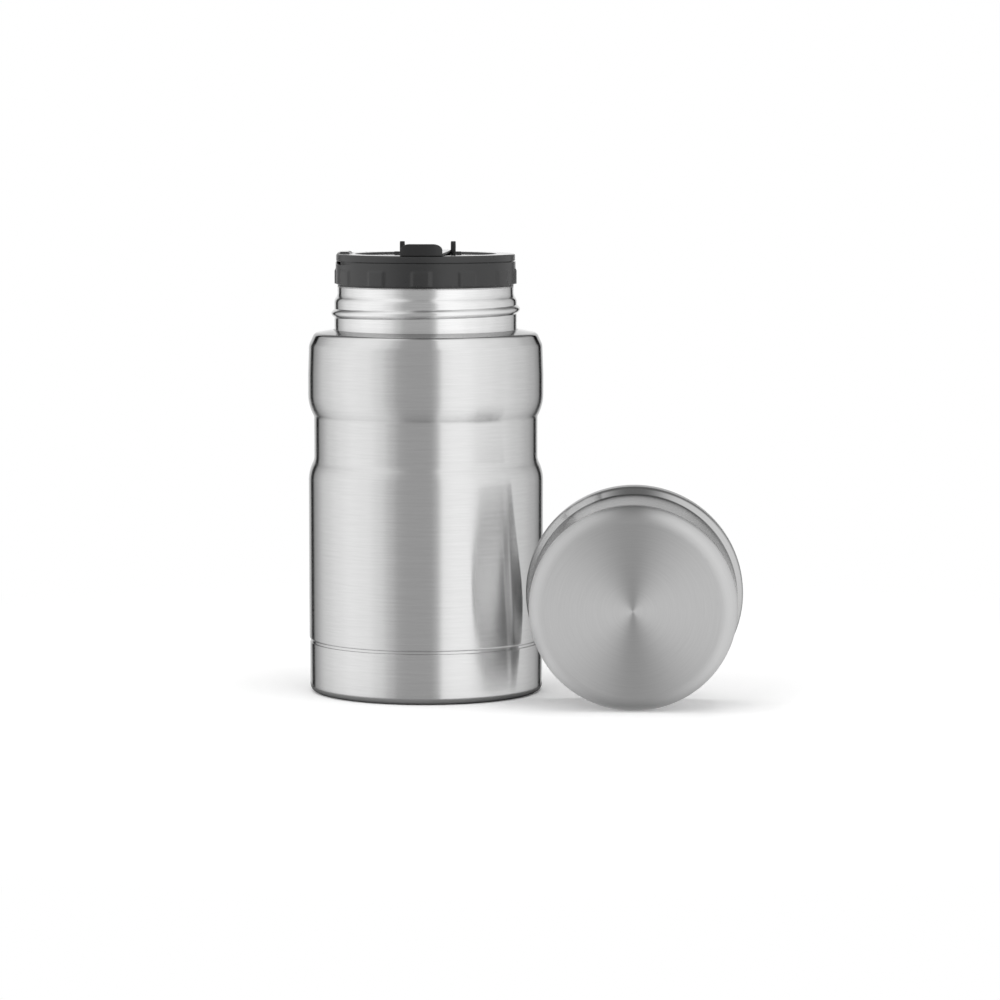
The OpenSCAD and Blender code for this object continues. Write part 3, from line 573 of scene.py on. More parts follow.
def moulded(name, color, roughness, top, grain, grain_depth, clouding=0.12):
    """A moulded surface: a fine grain in its height and slow clouds in its tone.
    top is the roughness of its upper faces."""
    material, tree, shader = principled(name)
    coordinates = tree.nodes.new("ShaderNodeTexCoord").outputs
    place = coordinates["Object"]
    facing = tree.nodes.new("ShaderNodeSeparateXYZ")
    link(tree, coordinates["Normal"], facing.inputs[0])
    clouds = noise(tree, place, CLOUD_SCALE, 3.0)
    grains = noise(tree, place, 1 / grain, 2.0, 0.6)
    tint = tree.nodes.new("ShaderNodeMix")
    tint.data_type = "RGBA"
    link(tree, clouds, tint.inputs["Factor"])
    for socket in tint.inputs:
        if socket.type == "RGBA" and socket.name in "AB":
            sign = -1 if socket.name == "A" else 1
            socket.default_value = (*[c * (1 + sign * clouding) for c in color], 1)
    link(tree, [s for s in tint.outputs if s.type == "RGBA"][0], shader.inputs["Base Color"])
    base = ease(tree, facing.outputs["Z"], POLISH_STARTS, POLISH_FULL, roughness, top)
    patchy = ease(tree, clouds, *PATCH_NOISE, *PLASTIC_PATCHES)
    link(tree, math_node(tree, "MULTIPLY", patchy, base), shader.inputs["Roughness"])
    bump = tree.nodes.new("ShaderNodeBump")
    strength = ease(tree, facing.outputs["Z"], POLISH_STARTS, POLISH_FULL, SIDE_BUMP, TOP_BUMP)
    link(tree, strength, bump.inputs["Strength"])
    bump.inputs["Distance"].default_value = grain_depth
    link(tree, grains, bump.inputs["Height"])
    link(tree, bump.outputs[0], shader.inputs["Normal"])
    return material


print("moulded faces are polished from a height of", POLISH_STARTS, "of their normal")

# %% The other finishes
stopper_plastic = moulded("stopper_plastic", (0.026, 0.026, 0.0265), 0.3, 0.12, 0.4 * mm, 0.01 * mm)
cover_plastic = moulded("cover_plastic", (0.013, 0.013, 0.0135), 0.28, 0.14, 0.4 * mm, 0.01 * mm)
silicone = moulded("silicone", (0.72, 0.72, 0.70), 0.5, 0.5, 0.8 * mm, 0.02 * mm, 0.04)
foam = moulded("foam", (0.86, 0.83, 0.74), 0.9, 0.9, 0.9 * mm, 0.2 * mm, 0.06)
getter_metal = steel("getter_metal", 0.35, 0.6, 0.3, 0.1)
solder = steel("solder", 0.5, 0.55, 0.0, 0.1)
foil = steel("foil", 0.86, 0.2, 0.5, 0.05)
pin_steel = steel("pin_steel", 0.6, 0.3, 0.5, 0.05)
print("plastic and small finishes made")

# %% [markdown]
# ## The outer shell
#
# A tube of sheet steel, drawn in at the waist. At the shoulder it leans in,
# turns over a small crest and rolls down to the neck. It could be subdivided
# from a few rings, but the real line is made of arcs with known radii, and
# arcs give exact highlights. The sheet has its real thickness, so the seam
# above the foot is a true gap. The brushing thins out towards the crest,
# where the shoulder shows a thin dark line, the edge of the backdrop.

# %% Sizes from the frame, in millimetres
SHEET = 0.6
WELD_GAP = 0.05


def radius_of(node):
    low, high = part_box(node)
    return round((high.x - low.x) / 2 / mm, 2)


def top_of(node):
    return round(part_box(node)[1].z / mm, 2)


def foot_of(node):
    return round(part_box(node)[0].z / mm, 2)


mouth_z = top_of("liner")
bulge_r = radius_of("outer_shell")
shell_foot = foot_of("outer_shell")
shoulder_foot = top_of("outer_shell")
print("mouth", mouth_z, "bulge", bulge_r, "shell from", shell_foot, "to", shoulder_foot)

# %% Sizes of the outer shell
BULGE_OVER, WAIST_DEPTH = 0.1, 2.4
body_r = bulge_r - BULGE_OVER
waist_r = body_r - WAIST_DEPTH
NECK_R = 38.9
DRAW_IN_R, DRAW_OUT_R = 17.5, 6.8
BULGE_UNDER_R, CREASE_R = 19.2, 3.6
WAIST_H, BULGE_H = 16, 8.5
# The shoulder leans in by TAPER, then LEAN, and its top slopes down by SLOPE, in
# degrees. Three arcs join them: a soft blend, the crest and the roll at the neck
TAPER, LEAN, SLOPE = 2.5, 24.7, 10
BLEND_R, CREST_R, ROLL_R = 5.0, 2.5, 0.8
BLEND_IN, BLEND_DOWN = 5.4, 7.0
CREST_IN, CREST_DOWN = 4.45, 3.05
ROLL_DOWN = 0.3
TAPER_DROP = 18.3
# Below the shell's top, where the brushing starts to thin out and where it is finest
BRUSH_THINS, BRUSH_FINEST = 7, 3
SHELL_EDGE, EDGE_TURN = 1.2, 55
print("the shell's waist is", 2 * waist_r, "mm across")

# %% The outer shell
neck_hole = NECK_R + WELD_GAP
taper_z = shoulder_foot - TAPER_DROP
blend_mid = (bulge_r - BLEND_IN, shoulder_foot - BLEND_DOWN)
crest_mid = (bulge_r - CREST_IN, shoulder_foot - CREST_DOWN)
roll_mid = (neck_hole + ROLL_R, shoulder_foot - ROLL_DOWN)
crease_z = taper_z - BULGE_H - draw_rise(bulge_r, waist_r, BULGE_UNDER_R, CREASE_R)
lower_top = crease_z - WAIST_H - draw_rise(body_r, waist_r, DRAW_IN_R, DRAW_OUT_R)


def shell_line(inset):
    """The shell's line from the lower body up to the neck, moved in by inset."""
    return (draw_in(body_r, waist_r, lower_top, DRAW_IN_R, DRAW_OUT_R, inset, 16)
            + widen(waist_r, bulge_r, crease_z, CREASE_R, BULGE_UNDER_R, inset, 16)
            + [(bulge_r - inset, taper_z)]
            + arc(*blend_mid, BLEND_R - inset, TAPER, LEAN, 6)
            + arc(*crest_mid, CREST_R - inset, LEAN, 90 - SLOPE, 12)
            + arc(*roll_mid, ROLL_R - inset, 90 - SLOPE, 180, 8))


gloss = ((shoulder_foot - BRUSH_THINS, 0.24), (shoulder_foot - BRUSH_FINEST, 0.12))
body_steel = steel("body_steel", 0.70, gloss, 1.0, 0.035, edge=EDGE_TONE)
edge_rise = SHELL_EDGE * math.sin(math.radians(EDGE_TURN))
shell_edge = arc(body_r - SHELL_EDGE, shell_foot + edge_rise, SHELL_EDGE, -EDGE_TURN, 0, 6)
shell = spin("outer_shell_skin", shell_edge + shell_line(0) + shell_line(SHEET)[::-1]
             + [(body_r - SHEET, shell_foot)])
settle(shell, "jar", ["outer_shell"], body_steel)

# %% [markdown]
# ## The foot
#
# A pressed cap closes the shell from below. It stands on a ring, has a recess
# in the middle, and its flange reaches up inside the shell behind the groove.
# One outline again: first the outside from the pumping hole to the flange,
# then the inside back.

# %% The foot
foot_r = radius_of("base_cap")
SEAM = 1.0
foot_top = shell_foot - SEAM
flange_r = body_r - SHEET - WELD_GAP
FOOT_EDGE = 3.0
FOOT_RING = 3.0
RECESS = 4.0
PUMP_HOLE = 1.5
TOP_EDGE = 0.6
ring_out = foot_r - FOOT_EDGE
ring_in = ring_out - FOOT_RING
flange_top = top_of("base_cap")

foot_outside = rounded([
    (PUMP_HOLE, RECESS, 0), (ring_in, RECESS, 0.8), (ring_in, 0, 0.5),
    (ring_out, 0, 0)], closed=False)
foot_outside += arc(ring_out, FOOT_EDGE, FOOT_EDGE, -90, 0, 14)[1:]
foot_outside += arc(foot_r - TOP_EDGE, foot_top - TOP_EDGE, TOP_EDGE, 0, 90, 5)
foot_outside += [(flange_r, foot_top), (flange_r, flange_top)]
foot_inside = [(flange_r - SHEET, flange_top), (flange_r - SHEET, foot_top - SHEET),
               (foot_r - SHEET, foot_top - SHEET)]
foot_inside += arc(ring_out, FOOT_EDGE, FOOT_EDGE - SHEET, 0, -90, 14)
foot_inside += [(ring_in + SHEET, SHEET), (ring_in + SHEET, RECESS + SHEET),
                (PUMP_HOLE, RECESS + SHEET)]
foot = spin("base_cap_skin", foot_outside + foot_inside)
settle(foot, "jar", ["base_cap"], foot_steel)

# %% The cover disc under the foot
disc_foot, disc_top = foot_of("base_disc"), top_of("base_disc")
disc_r = radius_of("base_disc")
DISC_RINGS = (12, 24, 36)
RING_DEPTH = 0.3
RING_W = 1.2
lower = [(0, disc_foot)]
upper = [(0, disc_top)]
for ring in DISC_RINGS:
    for share, lift in ((-1, 0), (-0.5, 1), (0.5, 1), (1, 0)):
        lower.append((ring + share * RING_W, disc_foot + lift * RING_DEPTH))
    upper += [(ring - RING_W, disc_top), (ring + RING_W, disc_top)]
edge = rounded([(disc_r - 1, disc_foot, 0), (disc_r, disc_foot, 0.3), (disc_r, disc_top, 0.3),
                (disc_r - 1, disc_top, 0)], closed=False)
disc = spin("base_disc_skin", lower + edge + upper[::-1], sides=128)
settle(disc, "jar", ["base_disc"], foot_steel)

# %% [markdown]
# ## Screw ridges
#
# A rolled thread is a wave in the wall, not a wire laid on it. So the ridge
# is a relief: where the wall passes the helix, its points move out or in. The
# height fades at both ends, as it does where a roller is lifted off.

# %% The helix


def ridge_height(angle, z, mid, mid_z, lead, sweep, half_w, fade):
    """Height share, 0 to 1, of a screw ridge at an angle and height."""
    turned = (angle - mid + 180) % 360 - 180
    if abs(turned) > sweep / 2:
        return 0.0
    u = (z - mid_z - lead * turned / 360) / half_w
    if abs(u) >= 1:
        return 0.0
    run_out = min(1.0, (sweep / 2 - abs(turned)) / fade)
    run_out = run_out * run_out * (3 - 2 * run_out)
    return run_out * math.cos(math.pi / 2 * u)


print("a ridge fades to", round(ridge_height(44, 0.5, 0, 0, 4, 90, 1, 8), 3), "near its end")

# %% [markdown]
# ## The neck
#
# The polished neck carries the bead that the cup screws on to. It runs almost
# once round and climbs 3.8 mm in a full turn, so it slopes a little across
# the front. Above it the neck steps in under the stopper.

# %% The neck
NECK_TOP_R = 37.5
STEP_R = 3.4
STEP_H = 2.9
NECK_TAIL = foot_of("neck_sleeve")
BEAD_H, BEAD_W, BEAD_LEAD, BEAD_SWEEP, BEAD_FADE = 1.3, 1.9, 3.8, 340, 16
BEAD_UP, BEAD_STEP = 8.35, 0.15
bead_z = shoulder_foot + BEAD_UP
neck_top = mouth_z - SHEET
step_z = mouth_z - STEP_H - draw_rise(NECK_R, NECK_TOP_R, STEP_R, STEP_R)


def neck_line(inset):
    return ([(NECK_R - inset, NECK_TAIL)]
            + draw_in(NECK_R, NECK_TOP_R, step_z, STEP_R, STEP_R, inset, 10)
            + [(NECK_TOP_R - inset, neck_top)])


def neck_bead(r, z, angle):
    """Moves the neck's outside points out along the bead."""
    if r < NECK_R - SHEET / 2:
        return r, z
    lift = ridge_height(angle, z, -90, bead_z, BEAD_LEAD, BEAD_SWEEP, BEAD_W, BEAD_FADE)
    return r + BEAD_H * lift, z


bead_low = bead_z - BEAD_LEAD / 2 - BEAD_W
bead_high = bead_z + BEAD_LEAD / 2 + BEAD_W
neck_outside = stretch(neck_line(0), BEAD_STEP, bead_low, bead_high)
neck = spin("neck_skin", neck_outside + neck_line(SHEET)[::-1], neck_bead, sides=FINE_SIDES)
settle(neck, "jar", ["neck_sleeve"], neck_steel)

# %% [markdown]
# ## The inner bottle
#
# The inner bottle is drawn from one sheet. Its floor is rounded for a spoon,
# its shoulder narrows to the throat, and three short ridges inside the mouth
# hold the stopper. At the rim it turns outwards over the neck.

# %% The inner bottle
LINER_R = 44.0
MOUTH_R = 35.3
THROAT_R = MOUTH_R + SHEET
LINER_CORNER, LINER_SHOULDER, LINER_THROAT = 8, 8, 5
THREAD_STARTS, THREAD_LEAD, THREAD_SWEEP = 3, 12, 80
THREAD_H, THREAD_W, THREAD_FADE, THREAD_STEP = 0.9, 0.7, 8, 0.12
LINER_DROP, THREAD_DROP = 17, 7.2
liner_foot = foot_of("liner")
liner_shoulder = shoulder_foot - LINER_DROP
thread_z = mouth_z - THREAD_DROP


def liner_line(inset):
    return ([(0, liner_foot + inset)]
            + arc(LINER_R - LINER_CORNER, liner_foot + LINER_CORNER, LINER_CORNER - inset,
                  -90, 0, 12)
            + draw_in(LINER_R, THROAT_R, liner_shoulder, LINER_SHOULDER, LINER_THROAT, inset, 12))


def mouth_threads(r, z, angle):
    """Moves the mouth's wall inwards along the three ridges."""
    if abs(r - MOUTH_R) > 0.01:
        return r, z
    lift = max(ridge_height(angle, z, start * 360 / THREAD_STARTS, thread_z, THREAD_LEAD,
                            THREAD_SWEEP, THREAD_W, THREAD_FADE)
               for start in range(THREAD_STARTS))
    return r - THREAD_H * lift, z


rim = rounded([(THROAT_R, neck_top - 1, 0), (THROAT_R, neck_top, 0), (NECK_TOP_R, neck_top, 0.2),
               (NECK_TOP_R, mouth_z, 0.25), (MOUTH_R, mouth_z, 0.4), (MOUTH_R, mouth_z - 1, 0)],
              closed=False)
thread_reach = THREAD_LEAD * THREAD_SWEEP / 720 + THREAD_W
bore = stretch([rim[-1], liner_line(SHEET)[-1]], THREAD_STEP, thread_z - thread_reach,
               thread_z + thread_reach)[1:]
liner = spin("liner_skin", liner_line(0) + rim + bore + liner_line(SHEET)[-2::-1],
             mouth_threads, sides=FINE_SIDES)
settle(liner, "jar", ["liner"], bowl_steel)

# %% The hidden pieces of the jar
for node, finish in (("reflector_foil", foil), ("getter", getter_metal), ("vacuum_seal", solder)):
    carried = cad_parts[node]
    carried.data.materials.clear()
    carried.data.materials.append(finish)
    print(node, "finished as", finish.name)

# %% [markdown]
# ## The mouth's gasket
#
# A soft silicone ring under the collar. Two fine lips on its underside seal
# on the polished rim. It rides on the body that only rises and falls.

# %% The gasket
gasket_foot, gasket_top = foot_of("rim_gasket"), top_of("rim_gasket")
gasket_out = radius_of("rim_gasket")
GASKET_W = 1.8
LIP = 0.25
gasket_in = gasket_out - GASKET_W
lips = []
for share in (0.0, 0.25, 0.5, 0.75, 1.0):
    lift = 0 if share in (0.25, 0.75) else LIP
    lips.append((gasket_in + 0.1 + share * (GASKET_W - 0.2), gasket_foot + lift))
gasket = spin("rim_gasket_skin", lips + rounded([
    (gasket_out, gasket_foot + LIP, 0), (gasket_out, gasket_top, 0.3),
    (gasket_in, gasket_top, 0.3), (gasket_in, gasket_foot + LIP, 0)], closed=False), sides=160)
settle(gasket, "gasket_ring", ["rim_gasket"], silicone)

# %% [markdown]
# ## The stopper's body
#
# One moulding: a collar with twelve grip lugs above the rim, and a threaded
# skirt with a floor below it. The whole stopper stands turned by a few
# degrees, because that is where its screw came to rest. The pieces are spun
# upright and then turned as objects, so their own axes stay simple. Lugs,
# notch and threads are all one relief on the spun wall.

# %% Modifiers baked in


def bake(piece):
    """Puts the result of a piece's modifiers into its mesh."""
    bpy.context.view_layer.update()
    shape = piece.evaluated_get(bpy.context.evaluated_depsgraph_get())
    mesh = bpy.data.meshes.new_from_object(shape)
    piece.modifiers.clear()
    piece.data = mesh
    mesh.name = piece.name
    smooth(mesh)


def combine(piece, tool, operation):
    """UNION or DIFFERENCE of a piece with a tool, which is used up."""
    change = piece.modifiers.new(operation.lower(), "BOOLEAN")
    change.operation = operation
    change.solver = "EXACT"
    change.object = tool
    bake(piece)
    bpy.data.objects.remove(tool)


def soften(piece, width, segments=3, angle=40):
    """Rounds the edges that are sharper than an angle."""
    change = piece.modifiers.new("edges", "BEVEL")
    change.width = width * mm
    change.segments = segments
    change.limit_method = "ANGLE"
    change.angle_limit = math.radians(angle)
    bake(piece)


def prism(name, outline, low, high, lay=None):
    """An outline of (x, y) points drawn out along Z, then laid by a matrix."""
    count = len(outline)
    verts = [(x * mm, y * mm, z * mm) for z in (low, high) for x, y in outline]
    sides = [(i, (i + 1) % count, (i + 1) % count + count, i + count) for i in range(count)]
    piece = add_piece(name, verts, [range(count), range(count, 2 * count), *sides])
    if lay is not None:
        piece.data.transform(lay)
    return piece


def moved(x, y, z):
    return Matrix.Translation((x * mm, y * mm, z * mm))


def ramp_up(value, low, high):
    """A smooth step from 0 at low to 1 at high."""
    share = min(1.0, max(0.0, (value - low) / (high - low)))
    return share * share * (3 - 2 * share)


print("a quarter up the smooth step:", ramp_up(0.25, 0, 1))

# %% Sizes of the stopper's body
STOPPER_TURN = math.radians(-1.8)
on_stopper = Matrix.Rotation(STOPPER_TURN, 4, "Z")
RIM_GAP, COLLAR_H = 0.3, 10.0
collar_z = mouth_z + RIM_GAP
seam_z = collar_z + COLLAR_H
COLLAR_R = NECK_TOP_R + 0.7
SKIRT_R = MOUTH_R - 1.4
SKIRT_T, SKIRT_H = 1.8, 14.7
SKIRT_IN = SKIRT_R - SKIRT_T
skirt_z = mouth_z - SKIRT_H
floor_z = skirt_z + SKIRT_T
BORE_R = COLLAR_R - 3.2
ledge_z = seam_z - 7.0
GROOVE = 0.05
RECESS_R, RECESS_H, RECESS_GAP = 36.9, 0.6, 0.05
ring_z = mouth_z + RECESS_GAP
LUGS, LUG_SWEEP, LUG_SOFT, LUG_OUT = 12, 11.5, 2.6, 0.5
lug_foot, lug_top = collar_z + RECESS_H, collar_z + 7.4
LUG_RUN_OUT = 1.6
NOTCH_H, NOTCH_L, NOTCH_WALL, NOTCH_MID = 1.3, 27.0, 36.2, -160
notch_r = (NOTCH_L ** 2 / 4 + NOTCH_H ** 2) / (2 * NOTCH_H)
skirt_thread_z = thread_z - THREAD_LEAD / THREAD_STARTS / 2
TUBE_FRONT, TUBE_R, TUBE_GAP = 21.0, 5.4, 0.1
print("the stopper's body reaches from", round(skirt_z, 2), "to", round(seam_z, 2), "mm")

# %% The relief of the stopper's body


def grip(r, z, angle):
    """Lugs on the collar, threads on the skirt, and the thumb notch."""
    if abs(r - SKIRT_R) < 0.01:
        turned = angle + math.degrees(STOPPER_TURN)
        lift = max(ridge_height(turned, z, start * 360 / THREAD_STARTS, skirt_thread_z,
                                THREAD_LEAD, THREAD_SWEEP, THREAD_W, THREAD_FADE)
                   for start in range(THREAD_STARTS))
        return r + THREAD_H * lift, z
    if abs(r - COLLAR_R) < 0.01 and lug_foot - 0.01 < z < lug_top + 0.01:
        step = 360 / LUGS
        beside = abs((angle + 90 + step / 2) % step - step / 2)
        width = 1 - ramp_up(beside, LUG_SWEEP / 2 - LUG_SOFT / 2, LUG_SWEEP / 2 + LUG_SOFT / 2)
        height = 1 - ramp_up(z, lug_top - LUG_RUN_OUT, lug_top)
        return r + LUG_OUT * width * height, z
    turned = math.radians(angle - NOTCH_MID)
    if r > NOTCH_WALL + 0.005 and z > seam_z - 0.5 and math.cos(turned) > 0:
        return r, z - max(0.0, NOTCH_H - (r * math.sin(turned)) ** 2 / (2 * notch_r))
    return r, z


print("a lug stands", LUG_OUT, "mm out and is", round(math.radians(LUG_SWEEP) * COLLAR_R, 1), "mm wide")

# %% The stopper's body
skirt_wall = stretch([(SKIRT_R, skirt_z + 0.6), (SKIRT_R, mouth_z - 0.4)], THREAD_STEP,
                     skirt_thread_z - thread_reach, skirt_thread_z + thread_reach)
collar_wall = [(COLLAR_R, lug_foot + step) for step in (0.0, 2, 4)]
collar_wall += [(COLLAR_R, lug_top - LUG_RUN_OUT * (1 - k / 8)) for k in range(9)]
collar_wall += [(COLLAR_R, lug_top + 0.5), (COLLAR_R, seam_z - 1.9)]
collar_wall += arc(COLLAR_R - 0.25, seam_z - 0.25, 0.25, 0, 90, 4)
body_line = rounded([(0, skirt_z, 0), (SKIRT_R, skirt_z, 0.5), (SKIRT_R, skirt_z + 0.6, 0)],
                    closed=False)[:-1]
body_line += skirt_wall
body_line += [(SKIRT_R + 0.001, collar_z), (gasket_in - GROOVE, collar_z),
              (gasket_in - GROOVE, gasket_top + GROOVE), (gasket_out + GROOVE, gasket_top + GROOVE),
              (gasket_out + GROOVE, ring_z), (RECESS_R, ring_z),
              (RECESS_R, lug_foot - 0.1), (COLLAR_R - 0.1, lug_foot - 0.1)]
body_line += collar_wall
body_line += [(NOTCH_WALL + 0.01, seam_z), (NOTCH_WALL, seam_z), (BORE_R, seam_z),
              (BORE_R, ledge_z), (SKIRT_IN, ledge_z), (SKIRT_IN, floor_z), (0, floor_z)]
LUG_SIDES = 480
stopper_body = spin("stopper_body_skin", body_line, grip, sides=LUG_SIDES)


def tube_cutter(radius, low, high):
    """A cylinder where the sip tube passes through the stopper."""
    tool = spin("tube_cutter", [(0, low), (radius, low), (radius, high), (0, high)],
                closed=False, sides=TUBE_SIDES)
    tool.data.transform(moved(0, -TUBE_FRONT, 0))
    return tool


combine(stopper_body, tube_cutter(TUBE_R + TUBE_GAP, skirt_z - 1, floor_z + 1), "DIFFERENCE")
settle(stopper_body, "stopper", ["stopper_body"], stopper_plastic, on_stopper)

# %% [markdown]
# ## The top disc
#
# A second moulding snaps into the collar with a spigot, and leaves a fine
# seam. It has a shallow dish, a raised thumb lip on the left above the notch,
# and two low bosses that hold the hinge pin. The round part is spun with the
# lip as its relief. The bosses are added and the hinge pocket is cut away
# with booleans, which is the quickest way to join straight shapes to round ones.

# %% Sizes of the top disc
TOP_R = COLLAR_R - 0.2
rim_z = seam_z + 3.2
TOP_EDGE_R = 0.8
DISH_R = TOP_R - 8
DISH_DEPTH = 0.8
dish_z = rim_z - DISH_DEPTH
dish_under = dish_z - 2.8
SPIGOT_R = BORE_R - 0.1
SEAM_GAP, SEAM_DEPTH = 0.3, 1.0
LIP_H, LIP_W, LIP_SWEEP, LIP_SOFT = 1.0, 6.0, 34.0, 6.0
LIP_RISE, LIP_ROUND, LIP_ROUND_W = 1.2, 1.2, 3.0
LIP_MID = 180
HINGE_BACK = 18.9
hinge_z = rim_z - 0.8
PIN_R = 0.8
BARREL_R = 1.7
CHEEK_IN, CHEEK_T, CHEEK_H, CHEEK_TIP = 9.9, 2.1, 4.8, 1.4
cheek_out = CHEEK_IN + CHEEK_T
boss_in = cheek_out + 0.15
boss_out = boss_in + 2.2
BOSS_L, BOSS_H = 5.0, 0.4
POCKET_GAP = 1.0
print("the dish is", 2 * DISH_R, "mm across, and the hinge pin lies at", round(hinge_z, 2), "mm")

# %% The top disc's round part


def thumb_lip(r, z, angle):
    """Raises the rim's upper face at the left."""
    if z < rim_z - TOP_EDGE_R - 0.01 or r < TOP_R - LIP_W - LIP_RISE:
        return r, z
    beside = abs((angle - LIP_MID + 180) % 360 - 180)
    width = 1 - ramp_up(beside, LIP_SWEEP / 2 - LIP_SOFT, LIP_SWEEP / 2)
    depth = ramp_up(r, TOP_R - LIP_W, TOP_R - LIP_W + LIP_RISE)
    share = (z - (rim_z - TOP_EDGE_R)) / TOP_EDGE_R
    over = LIP_ROUND * width * share * share * ramp_up(r, TOP_R - LIP_ROUND_W, TOP_R)
    return r - over, z + LIP_H * width * depth * share


top_line = [(0, dish_under), (SPIGOT_R - 1.6, dish_under), (SPIGOT_R - 1.6, seam_z - 5),
            (SPIGOT_R, seam_z - 5), (SPIGOT_R, seam_z), (TOP_R - SEAM_DEPTH, seam_z),
            (TOP_R - SEAM_DEPTH, seam_z + SEAM_GAP)]
top_line += arc(TOP_R - 0.15, seam_z + SEAM_GAP + 0.15, 0.15, -90, 0, 3)
top_line += arc(TOP_R - TOP_EDGE_R, rim_z - TOP_EDGE_R, TOP_EDGE_R, 0, 90, 8)
top_line += [(TOP_R - LIP_W + LIP_RISE * (1 - k / 5), rim_z) for k in range(7)]
top_line += rounded([(DISH_R + 1, rim_z, 0), (DISH_R, rim_z, 0.3), (DISH_R, dish_z, 0.5),
                     (DISH_R - 2, dish_z, 0)], closed=False)
top_line += [(0, dish_z)]
TOP_SIDES = 360
stopper_top = spin("stopper_top_skin", top_line, thumb_lip, sides=TOP_SIDES)
print("the top disc's outline has", len(top_line), "points")

# %% The hinge's bosses and pocket
# Lays an outline's x to the back and its y upwards, drawn out along the pin
across_hinge = (moved(0, HINGE_BACK, hinge_z)
                @ Matrix(((0, 0, 1, 0), (1, 0, 0, 0), (0, 1, 0, 0), (0, 0, 0, 1))))
boss_top = rim_z - hinge_z + BOSS_H
boss_outline = rounded([
    (-BOSS_L / 2, dish_z - hinge_z - 0.3, 0), (BOSS_L / 2, dish_z - hinge_z - 0.3, 0),
    (BOSS_L / 2, 0, 0.4), (boss_top / 2, boss_top, 0.4), (-boss_top / 2, boss_top, 0.4),
    (-BOSS_L / 2, 0, 0.4)], steps=3)
for low in (boss_in, -boss_out):
    boss = prism("boss", boss_outline, low, low + boss_out - boss_in, across_hinge)
    combine(stopper_top, boss, "UNION")
pocket_front = BARREL_R + POCKET_GAP
pocket_back = rim_z - hinge_z + CHEEK_H + 0.3
pocket_foot = hinge_z - BARREL_R - POCKET_GAP
pocket = prism("pocket", [
    (-boss_in, HINGE_BACK - pocket_front), (boss_in, HINGE_BACK - pocket_front),
    (boss_in, HINGE_BACK + pocket_back), (-boss_in, HINGE_BACK + pocket_back)],
    pocket_foot, rim_z + 3)
combine(stopper_top, pocket, "DIFFERENCE")
combine(stopper_top, tube_cutter(TUBE_R + TUBE_GAP, dish_under - 1, dish_z + 1), "DIFFERENCE")
settle(stopper_top, "stopper", ["stopper_top"], stopper_plastic, on_stopper)

# %% [markdown]
# ## The sip tube and its seals
#
# A flanged tube runs from the dish down through the stopper. A silicone ring
# seals it at the floor, and a plug under the flip cover closes it on top. All
# three are turned shapes that stand in front of the jar's axis, so they are
# spun about their own axis and set there as objects.

# %% The sip tube
at_tube = on_stopper @ moved(0, -TUBE_FRONT, 0)
TUBE_BORE = 4.2
FLANGE_R, FLANGE_T = TUBE_R + 2.0, 1.2
tube_foot = skirt_z - 0.6
tube = spin("sip_tube_skin", rounded([
    (TUBE_BORE, tube_foot, 0.3), (TUBE_R, tube_foot, 0.3), (TUBE_R, dish_under - FLANGE_T, 0.2),
    (FLANGE_R, dish_under - FLANGE_T, 0.2), (FLANGE_R, dish_under, 0.2), (TUBE_R, dish_under, 0.1),
    (TUBE_R, dish_z, 0.4), (TUBE_BORE, dish_z, 0.4)]), sides=TUBE_SIDES)
settle(tube, "stopper", ["sip_tube"], stopper_plastic, at_tube)

# %% The ring round the tube
SEAL_H = 1.6
seal = spin("tube_seal_skin", rounded([
    (TUBE_R + WELD_GAP, floor_z, 0.2), (FLANGE_R - 0.1, floor_z, 0.4),
    (FLANGE_R - 0.1, floor_z + SEAL_H, 0.5), (TUBE_R + WELD_GAP, floor_z + SEAL_H, 0.3)]),
    sides=TUBE_SIDES)
settle(seal, "stopper", ["tube_seal"], silicone, at_tube)

# %% The plug
cover_z = rim_z + 0.15
COVER_T = 1.0
PLUG_R = TUBE_BORE - 0.3
BUTTON_R, BUTTON_H = 1.5, 0.8
PLUG_L = 3
plug = spin("sip_seal_skin", [(0, dish_z - PLUG_L)] + rounded([
    (1, dish_z - PLUG_L, 0), (PLUG_R - 0.4, dish_z - PLUG_L, 0.8), (PLUG_R, dish_z + 0.05, 0),
    (TUBE_R, dish_z + 0.05, 0.2), (TUBE_R, cover_z, 0.4), (BUTTON_R, cover_z, 0),
    (BUTTON_R, cover_z + BUTTON_H, 0.3), (0, cover_z + BUTTON_H, 0)], closed=False),
    closed=False, sides=TUBE_SIDES)
settle(plug, "flip_cover", ["sip_seal"], silicone, at_tube)

# %% The hidden pieces of the stopper
for node, finish in (("stopper_foam", foam), ("hinge_pin", pin_steel)):
    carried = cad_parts[node]
    carried.data.materials.clear()
    carried.data.materials.append(finish)
    print(node, "finished as", finish.name)

# %% [markdown]
# ## The flip cover
#
# A narrow bar across the dish. In front it turns up into a thumb tab that
# follows the rim's curve, and at the hinge two upright cheeks stand on a
# barrel. It is built like a sheet-and-block kit: each part is drawn out from
# its outline, its edges are rounded, and booleans weld them into one moulding.

# %% The cover's bar
COVER_W = 17.6
COVER_TAIL = 1.0
TAB_H, TAB_T = 5.0, 1.6
TAB_CORNER_W, TAB_CORNER_H = 3.8, 2.6
half = COVER_W / 2
front = [(half * s, -math.sqrt(TOP_R ** 2 - (half * s) ** 2)) for s in
         [-1 + k / 6 for k in range(13)]]
cover = prism("flip_cover_skin", front + [
    (CHEEK_IN + 0.2, HINGE_BACK - BARREL_R), (CHEEK_IN + 0.2, HINGE_BACK + COVER_TAIL),
    (-CHEEK_IN - 0.2, HINGE_BACK + COVER_TAIL), (-CHEEK_IN - 0.2, HINGE_BACK - BARREL_R)],
    cover_z, cover_z + COVER_T)
soften(cover, 0.2, 2, 60)
print("the bar is", COVER_W, "mm wide")

